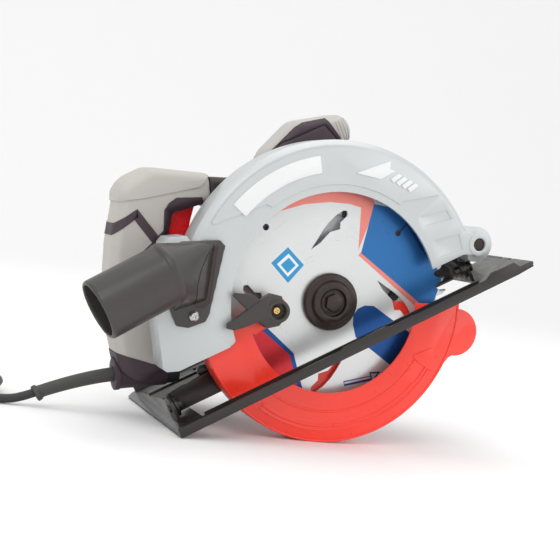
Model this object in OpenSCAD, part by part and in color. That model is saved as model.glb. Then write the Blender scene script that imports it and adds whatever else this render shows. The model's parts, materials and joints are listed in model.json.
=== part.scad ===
// Hand-held circular saw with a 210 mm blade, resting on its lower guard and shoe.
// Every sub-part is drawn in the saw's own frame: origin at the blade's centre, +X towards
// the front, +Y towards the motor, +Z up from the shoe. in_place() then stands the saw up.

/* [Blade and guards] */
// Radius over the carbide tips
blade_r = 105; // [100:1:107]
// Thickness of the blade's steel
blade_t = 1.8; // [1.4:0.1:2.2]
// Number of teeth
blade_teeth = 60; // [24:2:60]
// Outer radius of the lower guard
guard_r = 111.6; // [110:0.1:113]
// Inner radius of the lower guard's ring
guard_ri = 72; // [68:1:78]
// Outer radius of the upper guard
hood_r = 128.7; // [126:0.1:132]
// Radius of the upper guard's window
window_r = 88; // [84:1:90]

/* [Shoe] */
// Height of the shoe's underside below the blade's centre
shoe_drop = 36; // [34:0.5:38]
// Thickness of the shoe's steel
shoe_t = 2; // [1.5:0.25:2.5]
// Rear edge of the shoe, behind the blade's centre
shoe_rear = 159; // [155:1:165]
// Front edge of the shoe, ahead of the blade's centre
shoe_front = 168; // [160:1:175]
// Near edge of the shoe
shoe_near = 41.5; // [38:0.5:45]
// Far edge of the shoe, on the motor's side
shoe_far = 128.5; // [120:0.5:135]

/* [Drive] */
// Module of the gear teeth
gear_m = 1.25; // [1.25:0.05:1.25]
// Teeth of the driven gear
gear_teeth = 40; // [40:1:40]
// Teeth of the pinion
pinion_teeth = 10; // [10:1:10]
// Outer radius of the motor housing
motor_r = 46; // [45:0.5:47]

/* [Mains lead] */
// Diameter of the lead
cord_d = 7; // [6:0.5:8]

/* [Hidden] */
$fn = 64;

// How the saw stands: nose up, on the lower guard and on the shoe's rear edge
tilt = asin(guard_r / norm([shoe_rear, shoe_drop])) - atan(shoe_drop / shoe_rear);
// Where the blade's centre stands, so that the saw's box is centred on the frame
stand_x = 27.8;
stand_y = -57;

// Planes across the saw, along Y
hood_near = -17;          // outer face of the upper guard
hood_far = 10.2;          // its far face, where the gear case bolts on
hood_wall = 3;
case_y = 10.2;            // the gear case's flange
case_back = 42;           // where the motor housing starts
housing_back = 150;       // where the end cap starts
cap_back = 182;
grip_mid = 45;            // middle plane of the rear handle
grip_half = 19;           // its half width

// Axes that run along Y, as [x, z]
motor_xz = [0, gear_m * (gear_teeth + pinion_teeth) / 2];
lug_xz = [134, -6];       // front pivot of the depth setting
stud_xz = [-70.5, -20];   // depth lock stud
lever_xz = [-49, 16];     // retract lever's screw
port_screw_xz = [-111.7, 39.6];
trigger_xz = [-100, 111];  // trigger pivot
// Axis of the bevel setting, along X, as [y, z]
bevel_yz = [0, -24];
bevel_bolt_r = 50;        // bevel lock bolt's distance from it
bevel_bolt_a = 15;        // and its angle
arm_r = norm(stud_xz - lug_xz);
arm_a = asin((stud_xz[1] - lug_xz[1]) / arm_r);
depth_travel = 27;
guard_a0 = -192;          // rear end of the lower guard
guard_a1 = -24;           // front end of the lower guard
cord_r = cord_d / 2;

// ---- helpers ----
module in_place()
    translate([stand_x, stand_y, guard_r]) rotate([0, -tilt, 0]) children();

// a round bar along Y from y0 to y1
module along_y(y0, y1, r, at = [0, 0])
    translate([at[0], y0, at[1]]) rotate([-90, 0, 0]) cylinder(h = y1 - y0, r = r);

// a round bar along X from x0 to x1, at = [y, z]
module along_x(x0, x1, r, at = [0, 0])
    translate([x0, at[0], at[1]]) rotate([0, 90, 0]) cylinder(h = x1 - x0, r = r);

// an outline in X and Z, from y0 to y1
module plate_xz(y0, y1)
    translate([0, y1, 0]) rotate([90, 0, 0]) linear_extrude(y1 - y0) children();

// an outline in Y and Z, from x0 to x1
module plate_yz(x0, x1)
    translate([x0, 0, 0]) rotate([90, 0, 90]) linear_extrude(x1 - x0) children();

// a profile in radius and Y, turned about an axis along Y
module turned(at = [0, 0], fn = 96)
    translate([at[0], 0, at[1]]) rotate([-90, 0, 0]) rotate_extrude($fn = fn) children();

module ring2d(ro, ri) difference() {
    circle(ro);
    circle(ri);
}

// the sector of the plane from angle a0 to a1, out to about radius r
module sector2d(a0, a1, r) polygon(concat([[0, 0]],
    [for (i = [0:12]) 1.2 * r * [cos(a0 + (a1 - a0) * i / 12), sin(a0 + (a1 - a0) * i / 12)]]));

module rounded_bar2d(p, q, r) {
    d = (q - p) / norm(q - p) * r;
    n = [-d[1], d[0]];
    translate(p) circle(r);
    translate(q) circle(r);
    polygon([p + n, q + n, q - n, p - n]);
}

// points of an involute gear's outline, counted by tooth and by step along the flank
function inv(rb, r) = let (a = acos(min(1, rb / r))) tan(a) * 180 / PI - a;
module gear2d(teeth, add, ded, slack = 0.12) {
    rp = gear_m * teeth / 2;
    rb = rp * cos(25);
    ra = rp + add;
    rf = rp - ded;
    half = 90 / teeth - slack / rp * 90 / PI + inv(rb, rp);
    rs = [rf, max(rb, rf + 0.1), rp, (rp + ra) / 2, ra];
    polygon([for (k = [0:teeth - 1], j = [0:9])
        let (up = j < 5, r = rs[up ? j : 9 - j], a = half - inv(rb, max(r, rb)))
        r * [cos(k * 360 / teeth + (up ? -a : a)), sin(k * 360 / teeth + (up ? -a : a))]]);
}

module cross_recess(d, depth) for (a = [0, 90]) rotate([0, 0, a])
    translate([-d / 2, -d / 10, -depth]) cube([d, d / 5, depth + 1]);

// a pan-head screw along Y, its head's top at y, pointing to +Y
module screw_y(at, y, head_r, head_h, shank_r, length)
    translate([at[0], y, at[1]]) rotate([90, 0, 0]) difference() {
        union() {
            translate([0, 0, -head_h]) cylinder(h = head_h * 0.6, r = head_r);
            translate([0, 0, -head_h * 0.4]) cylinder(h = head_h * 0.4, r1 = head_r,
                r2 = head_r * 0.7);
            translate([0, 0, -length]) cylinder(h = length - head_h, r = shank_r);
        }
        cross_recess(head_r * 1.1, head_h * 0.6);
    }

// ---- upper guard ----
module block2d() polygon([[-78, 20], [-93.4, 97.1], [-106, 101], [-110.5, 98.5], [-137, 51.2],
    [-147.5, 12], [-146, 8], [-137, 4.7], [-80, 4.7]]);
module block_inner2d() polygon([[-78, 20], [-91, 91], [-105.5, 95.5], [-107.5, 94.5],
    [-133.7, 50.4], [-143.6, 12.5], [-136.5, 8.2], [-118, 8.2], [-118, 0], [-80, 0]]);
module panel2d() intersection() {
    ring2d(122.6, 94);
    polygon([[-90, 130], [-71, 97], [-26, 95.5], [0, 60], [60, 40], [81, 54], [113, 46.5],
        [150, 60], [150, 200], [-90, 200]]);
}
module upper_guard() color([0.86, 0.88, 0.87]) in_place() {
    difference() {
        union() {
            turned() polygon([[0, hood_near], [124.5, hood_near], [hood_r, -12.5],
                [hood_r, hood_far], [0, hood_far]]);
            plate_xz(hood_near, hood_far) block2d();
        }
        turned() polygon([[0, -14], [121.8, -14], [124.7, -11.2], [124.7, 7.2], [0, 7.2]]);
        plate_xz(-14, 7.2) block_inner2d();
        along_y(-18, -13, window_r);
        along_y(7, 11, 40);
        // the bottom, open for the lower guard
        plate_xz(-18, 7.2) polygon([[-200, -200], [200, -200], [200, -8], [0, -8], [0, 4.7],
            [-200, 4.7]]);
        plate_xz(7, 11) polygon([[-200, -200], [200, -200], [200, -8], [75, -8], [52, -30],
            [-84, -30], [-100, 4.7], [-200, 4.7]]);
        // rounded lower corner by the window
        plate_xz(-18, -13) difference() {
            translate([-93, 4]) square([12, 9.5]);
            translate([-93, 13.5]) circle(8);
        }
        // dust outlet, screw holes, panels
        along_y(-18, -13, 17, [-100, 66]);
        along_y(-18, -13, 2, port_screw_xz);
        along_y(7, 11, 3.02, stud_xz);
        for (p = case_bolts) along_y(7, 11, 2.6, p);
        plate_xz(-18, hood_near + 0.8) polygon([[92, 36.4], [116, 32], [117.6, 23.6], [94.1, 27.6]]);
        plate_xz(-18, hood_near + 0.8) polygon([[97, 13.3], [119.6, 9.6], [121, -4.3], [97, -1]]);
    }
    plate_xz(hood_near - 1.2, hood_near) panel2d();
    // front pivot lug: a boss in front of a wider ear
    difference() {
        union() {
            along_y(hood_near - 0.6, -11, 9.5, lug_xz);
            along_y(-12, hood_far, 14.5, lug_xz);
            plate_xz(-12, hood_far) polygon([[122, -8], [124, 16], [134, 8.5], [134, -20]]);
            plate_xz(hood_near, -11) polygon([[118, -8], [120, 14], [134, 3.5], [134, -15.5]]);
        }
        along_y(-20, 12, 4, lug_xz);
        along_y(-20, -13, 5.4, lug_xz);
        turned() polygon([[0, -14], [121.8, -14], [124.7, -11.2], [124.7, 7.2], [0, 7.2]]);
    }
}
case_bolts = [for (a = [35, 145, 210, 330]) motor_xz + 50 * [cos(a), sin(a)]];

// Raised white marks: a plain curved badge, the blade's turning arrow and its tail bars
module guard_markings() color("white") in_place() {
    y1 = hood_near - 1.2;
    plate_xz(y1 - 0.8, y1) {
        intersection() {
            ring2d(117, 103.5);
            sector2d(76, 116, 120);
        }
        polygon([[51.7, 89.9], [83, 87.6], [80, 82], [84, 78.6], [69.6, 77.5]]);
        for (i = [0:3]) translate([i * 3.6, -i * 4.2])
            polygon([[77.5, 74.5], [86, 76], [87.8, 72.8], [79, 70.6]]);
    }
}

// ---- gear case and motor ----
module gear_case() color([0.78, 0.79, 0.79]) in_place() difference() {
    union() {
        along_y(2.6, case_y, 24);
        along_y(case_y, case_back, 32);
        along_y(case_y, 14, 54, motor_xz);
        along_y(case_y, case_back, motor_r, motor_xz);
        plate_xz(case_y, case_back) translate([-32, 0]) square([64, 12]);
    }
    along_y(2, 7.8, 21);
    along_y(7, 8.1, 14);
    along_y(8, 17.2, 16);
    along_y(17, 32, 28.5);
    along_y(17.1, 32, 9.5, motor_xz);
    along_y(31.9, 43, 29);
    along_y(31.9, 43, 42.5, motor_xz);
    turned() polygon([[22.8, 3.2], [26, 3.2], [26, 4.2], [22.8, 4.2]]);
    for (p = case_bolts) along_y(9, 15, 2.1, p);
    along_x(20, 50, 2.6, [24, 0]);
    along_x(33.5, 60, 5.4, [24, 0]);
}

module bearing_plate() color([0.72, 0.73, 0.74]) in_place() difference() {
    union() {
        along_y(32, 42, 28.9);
        along_y(32, 42, 42.4, motor_xz);
    }
    along_y(31, 40, 13);
    along_y(34, 43, 14, motor_xz);
    along_y(31, 43, 8, motor_xz);
}

module ring_y(y0, y1, ro, ri, at = [0, 0]) difference() {
    along_y(y0, y1, ro, at);
    along_y(y0 - 1, y1 + 1, ri, at);
}

module vent_slots(y0, y1, r, a0, a1, n) for (i = [0:n - 1])
    translate([motor_xz[0], 0, motor_xz[1]]) rotate([0, a0 + (a1 - a0) * i / (n - 1), 0])
        translate([r - 8, y0, -1.5]) cube([16, y1 - y0, 3]);

module motor_housing() color([0.83, 0.82, 0.8]) in_place() difference() {
    along_y(case_back, housing_back, motor_r, motor_xz);
    along_y(case_back - 1, housing_back + 1, motor_r - 3.4, motor_xz);
    vent_slots(50, 63, motor_r, 20, 80, 6);
    for (s = [-1, 1]) along_x(s > 0 ? 40 : -50, s > 0 ? 50 : -40, 6, [140, motor_xz[1]]);
}

module motor_end_cap() color([0.3, 0.26, 0.28]) in_place() difference() {
    turned(motor_xz) polygon([[0, cap_back], [34, cap_back], [42, cap_back - 3],
        [motor_r, cap_back - 9], [motor_r, housing_back], [motor_r - 3.4, housing_back],
        [motor_r - 3.4, cap_back - 10], [39, cap_back - 5.5], [15, cap_back - 3.4],
        [15, cap_back - 14], [11, cap_back - 14], [11, cap_back - 6], [0, cap_back - 6]]);
    for (z = [-28.5, -20.5, 17.5, 25.5]) translate([-22, cap_back - 9, motor_xz[1] + z])
        cube([44, 12, 3]);
    vent_slots(157, 168, motor_r, 200, 340, 8);
    for (a = cap_screw_turns) along_y(cap_back - 4.4, cap_back + 1, 3.1, cap_screw_xz(a));
}
cap_screw_turns = [45, 135, 225, 315];
function cap_screw_xz(a) = motor_xz + 37.5 * [cos(a), sin(a)];

module stator_core() color([0.55, 0.55, 0.56]) in_place() difference() {
    along_y(72, 122, 42.4, motor_xz);
    along_y(71, 123, 24.5, motor_xz);
    for (s = [-1, 1]) translate([s * 30 - 5, 71, motor_xz[1] - 22]) cube([10, 52, 44]);
}

module field_coils() color([0.7, 0.36, 0.18]) in_place() for (s = [-1, 1]) difference() {
    translate([s * 30 - 4.6, 66, motor_xz[1] - 21.6]) cube([9.2, 62, 43.2]);
    ring_y(60, 130, 24.6, 0.01, motor_xz);
    translate([s * 30 - 6, 72, motor_xz[1] - 14]) cube([12, 50, 28]);
    ring_y(60, 130, 60, 42.3, motor_xz);
}

module brush_holders() color([0.25, 0.22, 0.2]) in_place() for (s = [-1, 1]) difference() {
    along_x(s > 0 ? 17 : -44, s > 0 ? 44 : -17, 5.9, [140, motor_xz[1]]);
    translate([s * 30 - 16, 136.9, motor_xz[1] - 2.6]) cube([32, 6.2, 5.2]);
}

module carbon_brushes() color([0.15, 0.15, 0.15]) in_place() for (s = [-1, 1])
    translate([s * 23.5 - 9, 137, motor_xz[1] - 2.5]) cube([18, 6, 5]);

module brush_caps() color([0.12, 0.12, 0.12]) in_place() for (s = [-1, 1]) difference() {
    along_x(s > 0 ? 44 : -48, s > 0 ? 48 : -44, 5.8, [140, motor_xz[1]]);
    translate([s * 48 - 1.2, 134, motor_xz[1] - 0.6]) cube([2.4, 12, 1.2]);
}

module bearing(y0, y1, ro, ri, at) {
    ring_y(y0, y1, ro, ro - 2, at);
    ring_y(y0 + 0.8, y1 - 0.8, ro - 2, ri + 1.8, at);
    ring_y(y0, y1, ri + 1.8, ri, at);
}
module ball_bearings() color([0.75, 0.76, 0.78]) in_place() {
    bearing(8.1, 17.1, 16, 7.51, [0, 0]);
    bearing(32, 39.9, 13, 5.01, [0, 0]);
    bearing(34, 41.9, 14, 6.01, motor_xz);
    bearing(169, 175.9, 11, 4.01, motor_xz);
}

// ---- rear handle ----
// a disc along Y with bevelled edges, the building block of the handles
module puck(at, r, y0, y1, bevel = 6) {
    along_y(y0 + bevel, y1 - bevel, r, at, $fn = 28);
    along_y(y0, y1, r - bevel, at, $fn = 28);
}
module grip_body(cut, y0, y1) {
    // cut thins the body all round, for its hollow
    hull() {
        puck([-104, 131], 18 - cut, y0, y1);
        puck([-112, 136], 9 - cut, y0, y1, 4);
        puck([-92, 140.5], 9 - cut, y0, y1, 4);
        puck([-56, 119], 11.5 - cut, y0, y1, 4);
    }
    hull() {
        puck([-104, 131], 18 - cut, y0, y1);
        puck([-99, 113], 13 - cut, y0, y1);
        puck([-120, 98], 22 - cut, y0, y1);
    }
    hull() {
        puck([-120, 98], 22 - cut, y0, y1);
        puck([-141, 55], 22 - cut, y0, y1);
    }
    hull() {
        puck([-141, 55], 22 - cut, y0, y1);
        puck([-151, 15], 19 - cut, y0, y1);
    }
    hull() {
        puck([-151, 15], 19 - cut, y0, y1);
        puck([-52, 14], 16 - cut, y0, y1);
    }
}
module column_side2d() polygon([[-44, 140], [-52, 113], [-66, 88], [-66, 30], [0, 30], [0, 140]]);
module trigger_slot2d() polygon([[-58, 104], [-60, 117], [-99, 118.5], [-112, 104], [-120, 64],
    [-96, 62], [-80, 80]]);
module handle_half(y0, y1) difference() {
    intersection() {
        difference() {
            grip_body(0, grip_mid - grip_half, grip_mid + grip_half);
            grip_body(3, grip_mid - grip_half + 3, grip_mid + grip_half - 3);
        }
        translate([-200, y0, -60]) cube([200, y1 - y0, 260]);
    }
    plate_xz(0, 90) column_side2d();
    along_y(0, 90, motor_r + 0.1, motor_xz);
    plate_xz(grip_mid - 7.6, grip_mid + 7.6) trigger_slot2d();
    gland_bar(12.3, -40, 34);
    gland_bar(13.1, 27.9, 36);
    along_y(55, 70, 5.3, [-112, 127], $fn = 32);
    for (p = handle_bolts) along_y(60, 70, 3.4, p, $fn = 24);
}
handle_bolts = [[-104, 136], [-126, 84], [-150, 30], [-96, 14]];
module handle_near_shell() color([0.84, 0.83, 0.81]) in_place()
    handle_half(grip_mid - grip_half, grip_mid);
module handle_far_shell() color([0.84, 0.83, 0.81]) in_place()
    handle_half(grip_mid, grip_mid + grip_half);

module handle_column() color([0.16, 0.14, 0.14]) in_place() difference() {
    union() {
        hull() {
            puck([-60, 119], 11.5, 26, 64, 4);
            puck([-33, 105], 13, 26, 64, 4);
        }
        hull() {
            puck([-38, 104], 14, 26, 64, 4);
            puck([-46, 72], 16, 26, 64, 4);
        }
        hull() {
            puck([-46, 72], 16, 26, 64, 4);
            puck([-28, 52], 16, 26, 64, 4);
        }
    }
    plate_xz(0, 90) difference() {
        translate([-120, -20]) square([130, 180]);
        column_side2d();
    }
    along_y(0, 90, motor_r + 0.1, motor_xz);
}

module switch_body() color([0.12, 0.12, 0.13]) in_place() {
    difference() {
        translate([-134, 34, 87.5]) cube([18, 22, 18.5]);
        translate([-118, 33, 98]) cube([4, 24, 14]);
    }
    along_y(29, 61, 1.5, trigger_xz);
}

module trigger() color([0.95, 0.05, 0.08]) in_place() difference() {
    plate_xz(grip_mid - 7, grip_mid + 7) polygon(concat(
        [for (i = [0:6]) bez([-62.5, 111], [-76, 96], [-90, 69], i / 6)],
        [[-96, 66.5], [-106, 68], [-109, 90], [-107, 108], [-102, 115], [-96, 114.5]]));
    along_y(30, 60, 1.56, trigger_xz);
}

module lock_off_button() color([0.1, 0.1, 0.11]) in_place() {
    along_y(58, 66.5, 5, [-112, 127]);
    turned([-112, 127]) polygon([[0, 66.5], [5, 66.5], [3.8, 68], [0, 68]]);
}

// ---- lead entry, strain relief and lead ----
gland_from = [-145, -2];
gland_angle = 160;        // of its axis, in X and Z
// a bar on the gland's axis, from distance a to b along it
module gland_bar(r, a, b) translate([gland_from[0], grip_mid, gland_from[1]])
    rotate([0, 90 - gland_angle, 0]) translate([0, 0, a])
        cylinder(h = b - a, r = r);
module cord_gland() color([0.2, 0.16, 0.19]) in_place() difference() {
    union() {
        gland_bar(12, -10, 32);
        gland_bar(12.8, 28, 32);
    }
    gland_bar(6, -11, 33);
}
module cord_clamp() color([0.2, 0.2, 0.2]) in_place() difference() {
    gland_bar(11, -20, -10.5);
    gland_bar(3.6, -21, -10);
}

function bez(p, q, r, t) = (1 - t) * (1 - t) * p + 2 * t * (1 - t) * q + t * t * r;
function unit(v) = v / norm(v);
function tangent(p, i) = unit(p[min(i + 1, len(p) - 1)] - p[max(i - 1, 0)]);
// a closed round tube along the points p, with a radius at each
module sweep(p, r, sides = 10) {
    n = len(p);
    rings = [for (i = [0:n - 1]) let (t = tangent(p, i), u = unit(cross([0, 0, 1], t)), v = cross(t, u))
        for (k = [0:sides - 1]) p[i] + r[i] * (u * cos(k * 360 / sides) + v * sin(k * 360 / sides))];
    side = [for (i = [0:n - 2], k = [0:sides - 1])
        [i * sides + k, i * sides + (k + 1) % sides, (i + 1) * sides + (k + 1) % sides,
            (i + 1) * sides + k]];
    ends = [[for (k = [sides - 1:-1:0]) k], [for (k = [0:sides - 1]) (n - 1) * sides + k]];
    polyhedron(points = rings, faces = concat([for (f = side) [f[3], f[2], f[1], f[0]]],
        [for (e = ends) [for (j = [len(e) - 1:-1:0]) e[j]]]), convexity = 6);
}
module strain_relief() color([0.27, 0.27, 0.26]) in_place() {
    p = [for (i = [0:10]) bez([-170, grip_mid, 7.1], [-196, grip_mid, 16.5], [-234, grip_mid, 21],
        i / 10)];
    sweep(p, [for (i = [0:10]) 5.9 - 0.08 * i], 12);
    translate([-233, grip_mid, 20.9]) rotate([0, -97, 0]) cylinder(h = 4, r = 6.6);
}

// ---- front handle ----
module front_grip(cut) {
    hull() {
        puck([0, 84], 17 - cut, 44, 80);
        puck([20, 112], 15 - cut, 44, 80);
    }
    hull() {
        puck([20, 112], 15 - cut, 44, 80);
        puck([46, 122], 15.5 - cut, 44, 80);
    }
    hull() {
        puck([46, 122], 15.5 - cut, 44, 80);
        puck([74, 117], 14.5 - cut, 44, 80);
    }
}
module front_cap2d() polygon([[-30, 127], [10, 118], [24, 126], [66, 127], [72, 112], [76, 95],
    [120, 95], [120, 170], [-30, 170]]);
module front_handle_core() color([0.3, 0.25, 0.28]) in_place() difference() {
    front_grip(0);
    plate_xz(40, 85) front_cap2d();
    along_y(40, 85, motor_r + 0.1, motor_xz);
}
module front_handle_shell() color([0.84, 0.83, 0.81]) in_place() intersection() {
    front_grip(0);
    plate_xz(40, 85) front_cap2d();
}

// ---- dust port ----
port_from = [-124, -41, 81];
port_to = [-181, -45, 78];
module port_bar(r, a, b) {
    d = port_to - port_from;
    translate(port_from) rotate([0, acos(d[2] / norm(d)), atan2(d[1], d[0])])
        translate([0, 0, a]) cylinder(h = b - a, r = r);
}
port_len = norm(port_to - port_from);
module port_flange2d() polygon([[-99, 95.4], [-71, 84.5], [-69, 79], [-100.3, 35.3],
    [-105, 31.7], [-119, 32.9], [-127, 38.2], [-126.5, 55], [-122, 75], [-108, 94]]);
module dust_port() color([0.29, 0.27, 0.27]) in_place() difference() {
    union() {
        plate_xz(-20.5, hood_near) port_flange2d();
        hull() {
            plate_xz(-20.5, -20) polygon([[-98, 94], [-76, 84], [-98, 48], [-124, 50], [-120, 80]]);
            port_bar(24, -3, 1);
        }
        port_bar(23, -2, port_len);
    }
    hull() {
        plate_xz(-17.5, -16) polygon([[-100, 84], [-92, 80], [-98, 56], [-110, 54], [-112, 74]]);
        port_bar(21, 3, 4.5);
    }
    port_bar(20, 4, port_len + 1);
    difference() {
        port_bar(24, port_len - 1.2, port_len + 1);
        port_bar(22.2, port_len - 2, port_len + 2);
    }
    along_y(-22, -16, 2.4, port_screw_xz);
}
module dust_port_screw() color([0.78, 0.76, 0.72]) in_place()
    screw_y(port_screw_xz, -23.1, 3.9, 2.6, 1.98, 12);

// ---- fixed small parts ----
module guard_circlip() color([0.35, 0.35, 0.36]) in_place() difference() {
    ring_y(3.25, 4.15, 26, 22.85);
    plate_xz(3, 5) polygon([[0, 0], [8, -40], [-8, -40]]);
}
module guard_spring() color([0.6, 0.6, 0.62]) in_place() {
    for (y = [7.6, 9.3]) translate([0, y, 0]) rotate([-90, 0, 0])
        rotate_extrude($fn = 48) translate([32, 0]) circle(0.8, $fn = 16);
    along_y(7.6, 9.3, 0.8, [32, 0]);
}
module guard_bumper() color([0.1, 0.1, 0.1]) in_place()
    along_y(3.4, 7.2, 4, 60 * [cos(guard_a1 + 4.2), sin(guard_a1 + 4.2)]);
module front_pivot_pin() color([0.2, 0.2, 0.21]) in_place() {
    along_y(-14.8, 29, 3.96, lug_xz);
    along_y(-16, -13.1, 5.3, lug_xz);
    along_y(26.6, 30, 6, lug_xz);
}
module depth_lock_stud() color([0.6, 0.6, 0.62]) in_place() {
    along_y(6.6, 7.2, 6, stud_xz);
    along_y(7.2, 29, 2.97, stud_xz);
    along_y(10.2, 12.7, 6.5, stud_xz);
}
module gear_case_screws() color([0.7, 0.7, 0.72]) in_place() for (p = case_bolts) {
    along_y(6.3, 7.2, 4, p);
    along_y(7.2, 13.5, 2.05, p);
}
module housing_screws() color([0.7, 0.7, 0.72]) in_place() {
    for (p = handle_bolts) translate([0, 2 * grip_mid, 0]) mirror([0, 1, 0])
        screw_y(p, 26.6, 3.2, 2.4, 1.7, 14);
    for (a = cap_screw_turns) along_y(cap_back - 4.4, cap_back - 2.2, 3, cap_screw_xz(a));
}

// ---- blade and spindle, turning together ----
tooth_step = 360 / blade_teeth;
// one tooth: gullet, back and a seat for its tip, turning anticlockwise seen from outside
function tooth(i) = let (a = i * tooth_step) [
    (blade_r - 8.5) * [cos(a + 2.9), sin(a + 2.9)],
    (blade_r - 9.3) * [cos(a + 1.9), sin(a + 1.9)],
    (blade_r - 8.2) * [cos(a + 0.9), sin(a + 0.9)],
    (blade_r - 6) * [cos(a), sin(a)],
    (blade_r - 5.2) * [cos(a - 0.9), sin(a - 0.9)],
    (blade_r - 1) * [cos(a - 0.95), sin(a - 0.95)],
    (blade_r - 2.2) * [cos(a - 2.0), sin(a - 2.0)]];
// a curved slot, as radius and angle from its inner tip
fin_outline = [[45, 0], [50.7, -8.4], [57, -14.5], [62.9, -19.6], [68.5, -24.6], [73.6, -29.9],
    [74, -32.5], [71.5, -33.4], [69.9, -33.3], [63.8, -29.2], [58.6, -29.7], [55.7, -21.3],
    [47.8, -11]];
module fin2d() polygon([for (p = fin_outline) p[0] * [cos(p[1]), sin(p[1])]]);
module blade2d() difference() {
    polygon([for (i = [0:blade_teeth - 1]) each [for (j = [6:-1:0]) tooth(i)[j]]]);
    circle(12.7);
    for (a = [20, 110, 200, 290]) rotate(a) {
        translate([81, 0]) circle(2.6);
        translate([81, -0.5]) square([20, 1]);
    }
    for (a = [-1, 89, 179, 269]) rotate(a) fin2d();
}
module blade() color([0.82, 0.83, 0.84]) in_place()
    plate_xz(-blade_t / 2, blade_t / 2) blade2d();
module carbide_tips() color([0.45, 0.46, 0.48]) in_place()
    plate_xz(-1.3, 1.3) for (i = [0:blade_teeth - 1]) rotate(i * tooth_step) polygon([
        (blade_r - 5.2) * [cos(-0.88), sin(-0.88)], (blade_r - 5.6) * [cos(-0.2), sin(-0.2)],
        blade_r * [cos(-0.1), sin(-0.1)], (blade_r - 0.7) * [cos(-0.93), sin(-0.93)]]);
module outer_flange() color([0.24, 0.21, 0.2]) in_place() turned() polygon([[4.1, -0.9],
    [23, -0.9], [23, -4.6], [21.8, -6], [17.6, -6.6], [16.4, -9.8], [15.4, -10.4],
    [11.2, -10.4], [10.6, -7.2], [4.1, -7.2]]);
module inner_flange() color([0.5, 0.5, 0.52]) in_place() turned() polygon([[7.5, -0.7],
    [12.65, -0.7], [12.65, 0.9], [20, 0.9], [20, 5], [14, 6.9], [7.5, 6.9]]);
module blade_bolt() color([0.25, 0.23, 0.22]) in_place() {
    translate([0, -12.6, 0]) rotate([-90, 0, 0]) cylinder(h = 5.4, r = 7.5, $fn = 6);
    along_y(-7.9, -7.2, 9.4);
    along_y(-7.2, 12, 3.95);
}
module spindle() color([0.65, 0.65, 0.67]) in_place() difference() {
    union() {
        along_y(-0.7, 31, 7.48);
        along_y(17.3, 18.8, 9.4);
        along_y(31, 39.8, 4.99);
    }
    along_y(-2, 13, 4);
}
module driven_gear() color([0.6, 0.6, 0.6]) in_place() difference() {
    plate_xz(19, 29) rotate(4.5) gear2d(gear_teeth, 0.7 * gear_m, 1.1 * gear_m);
    along_y(18, 30, 7.5);
    for (y = [18, 26.5]) ring_y(y, y + 3.5, 20, 12);
}

// ---- armature ----
module armature_shaft() color([0.68, 0.68, 0.7]) in_place() {
    along_y(18.6, 34, 3, motor_xz);
    along_y(31, 60, 5.99, motor_xz);
    along_y(60, 150, 6.5, motor_xz);
    along_y(150, 175.8, 3.99, motor_xz);
}
module pinion() color([0.6, 0.6, 0.6]) in_place() difference() {
    plate_xz(18.6, 30.5) translate(motor_xz) rotate(18)
        gear2d(pinion_teeth, 0.9 * gear_m, 1.1 * gear_m);
    along_y(18, 31, 3.01, motor_xz);
}
module armature_core() color([0.5, 0.5, 0.52]) in_place() difference() {
    along_y(73, 121, 23.6, motor_xz);
    along_y(72, 122, 6.5, motor_xz);
    for (i = [0:11]) translate([motor_xz[0], 72, motor_xz[1]]) rotate([0, i * 30, 0])
        translate([14, 0, -1.5]) cube([11, 50, 3]);
}
module armature_windings() color([0.72, 0.36, 0.16]) in_place() {
    for (y = [64, 121]) turned(motor_xz) translate([0, y]) polygon([[6.5, 0], [18, 0], [22, 3],
        [22, 6], [18, 9], [6.5, 9]]);
}
module commutator() color([0.75, 0.45, 0.22]) in_place() difference() {
    along_y(132, 149, 14, motor_xz);
    along_y(131, 150, 6.5, motor_xz);
    for (i = [0:23]) translate([motor_xz[0], 132, motor_xz[1]]) rotate([0, i * 15, 0])
        translate([12.8, -1, -0.3]) cube([2, 16, 0.6]);
}
module fan() color([0.2, 0.2, 0.22]) in_place() {
    ring_y(48, 50, 37, 6, motor_xz);
    ring_y(50, 58, 12, 6, motor_xz);
    for (i = [0:10]) translate([motor_xz[0], 49.5, motor_xz[1]]) rotate([0, i * 360 / 11, 0])
        translate([15, 0, -0.8]) cube([21.5, 12, 1.6]);
}

// ---- lower guard ----
module guard_ring2d(ro, ri) intersection() {
    ring2d(ro, ri);
    sector2d(guard_a0, guard_a1, 140);
}
module lower_guard() color([0.98, 0.33, 0.29]) in_place() {
    // outer face with its finger lobe and the tab that carries the lever
    difference() {
        plate_xz(-12.5, -10.9) {
            guard_ring2d(guard_r, guard_ri);
            translate([90.5, -66.5]) circle(19.5);
            polygon([[71, -86], [76.5, -83.4], [80.6, -83], [84, -76], [74, -76]]);
            intersection() {
                polygon([[-80, 16.6], [-80, 24], [-52, 27], [-38, 20], [-40, 9], [-54, 6],
                    [-70, 4]]);
                circle(82);
            }
        }
        along_y(-13, -10, 1.9, lever_xz);
    }
    // rim, far face and hub
    plate_xz(-11, 6) guard_ring2d(guard_r, guard_r - 1.6);
    difference() {
        plate_xz(4.4, 6) {
            guard_ring2d(guard_r, 30);
            circle(30.5);
        }
        along_y(4, 7, 24.04);
    }
    ring_y(4.4, 10, 28, 24.04);
    // pressed ridges along the ring
    plate_xz(-13.1, -12.4) {
        intersection() {
            ring2d(102.6, 101);
            sector2d(-150, -62, 120);
        }
        intersection() {
            ring2d(98.2, 97);
            sector2d(-150, -66, 120);
        }
    }
}
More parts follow.
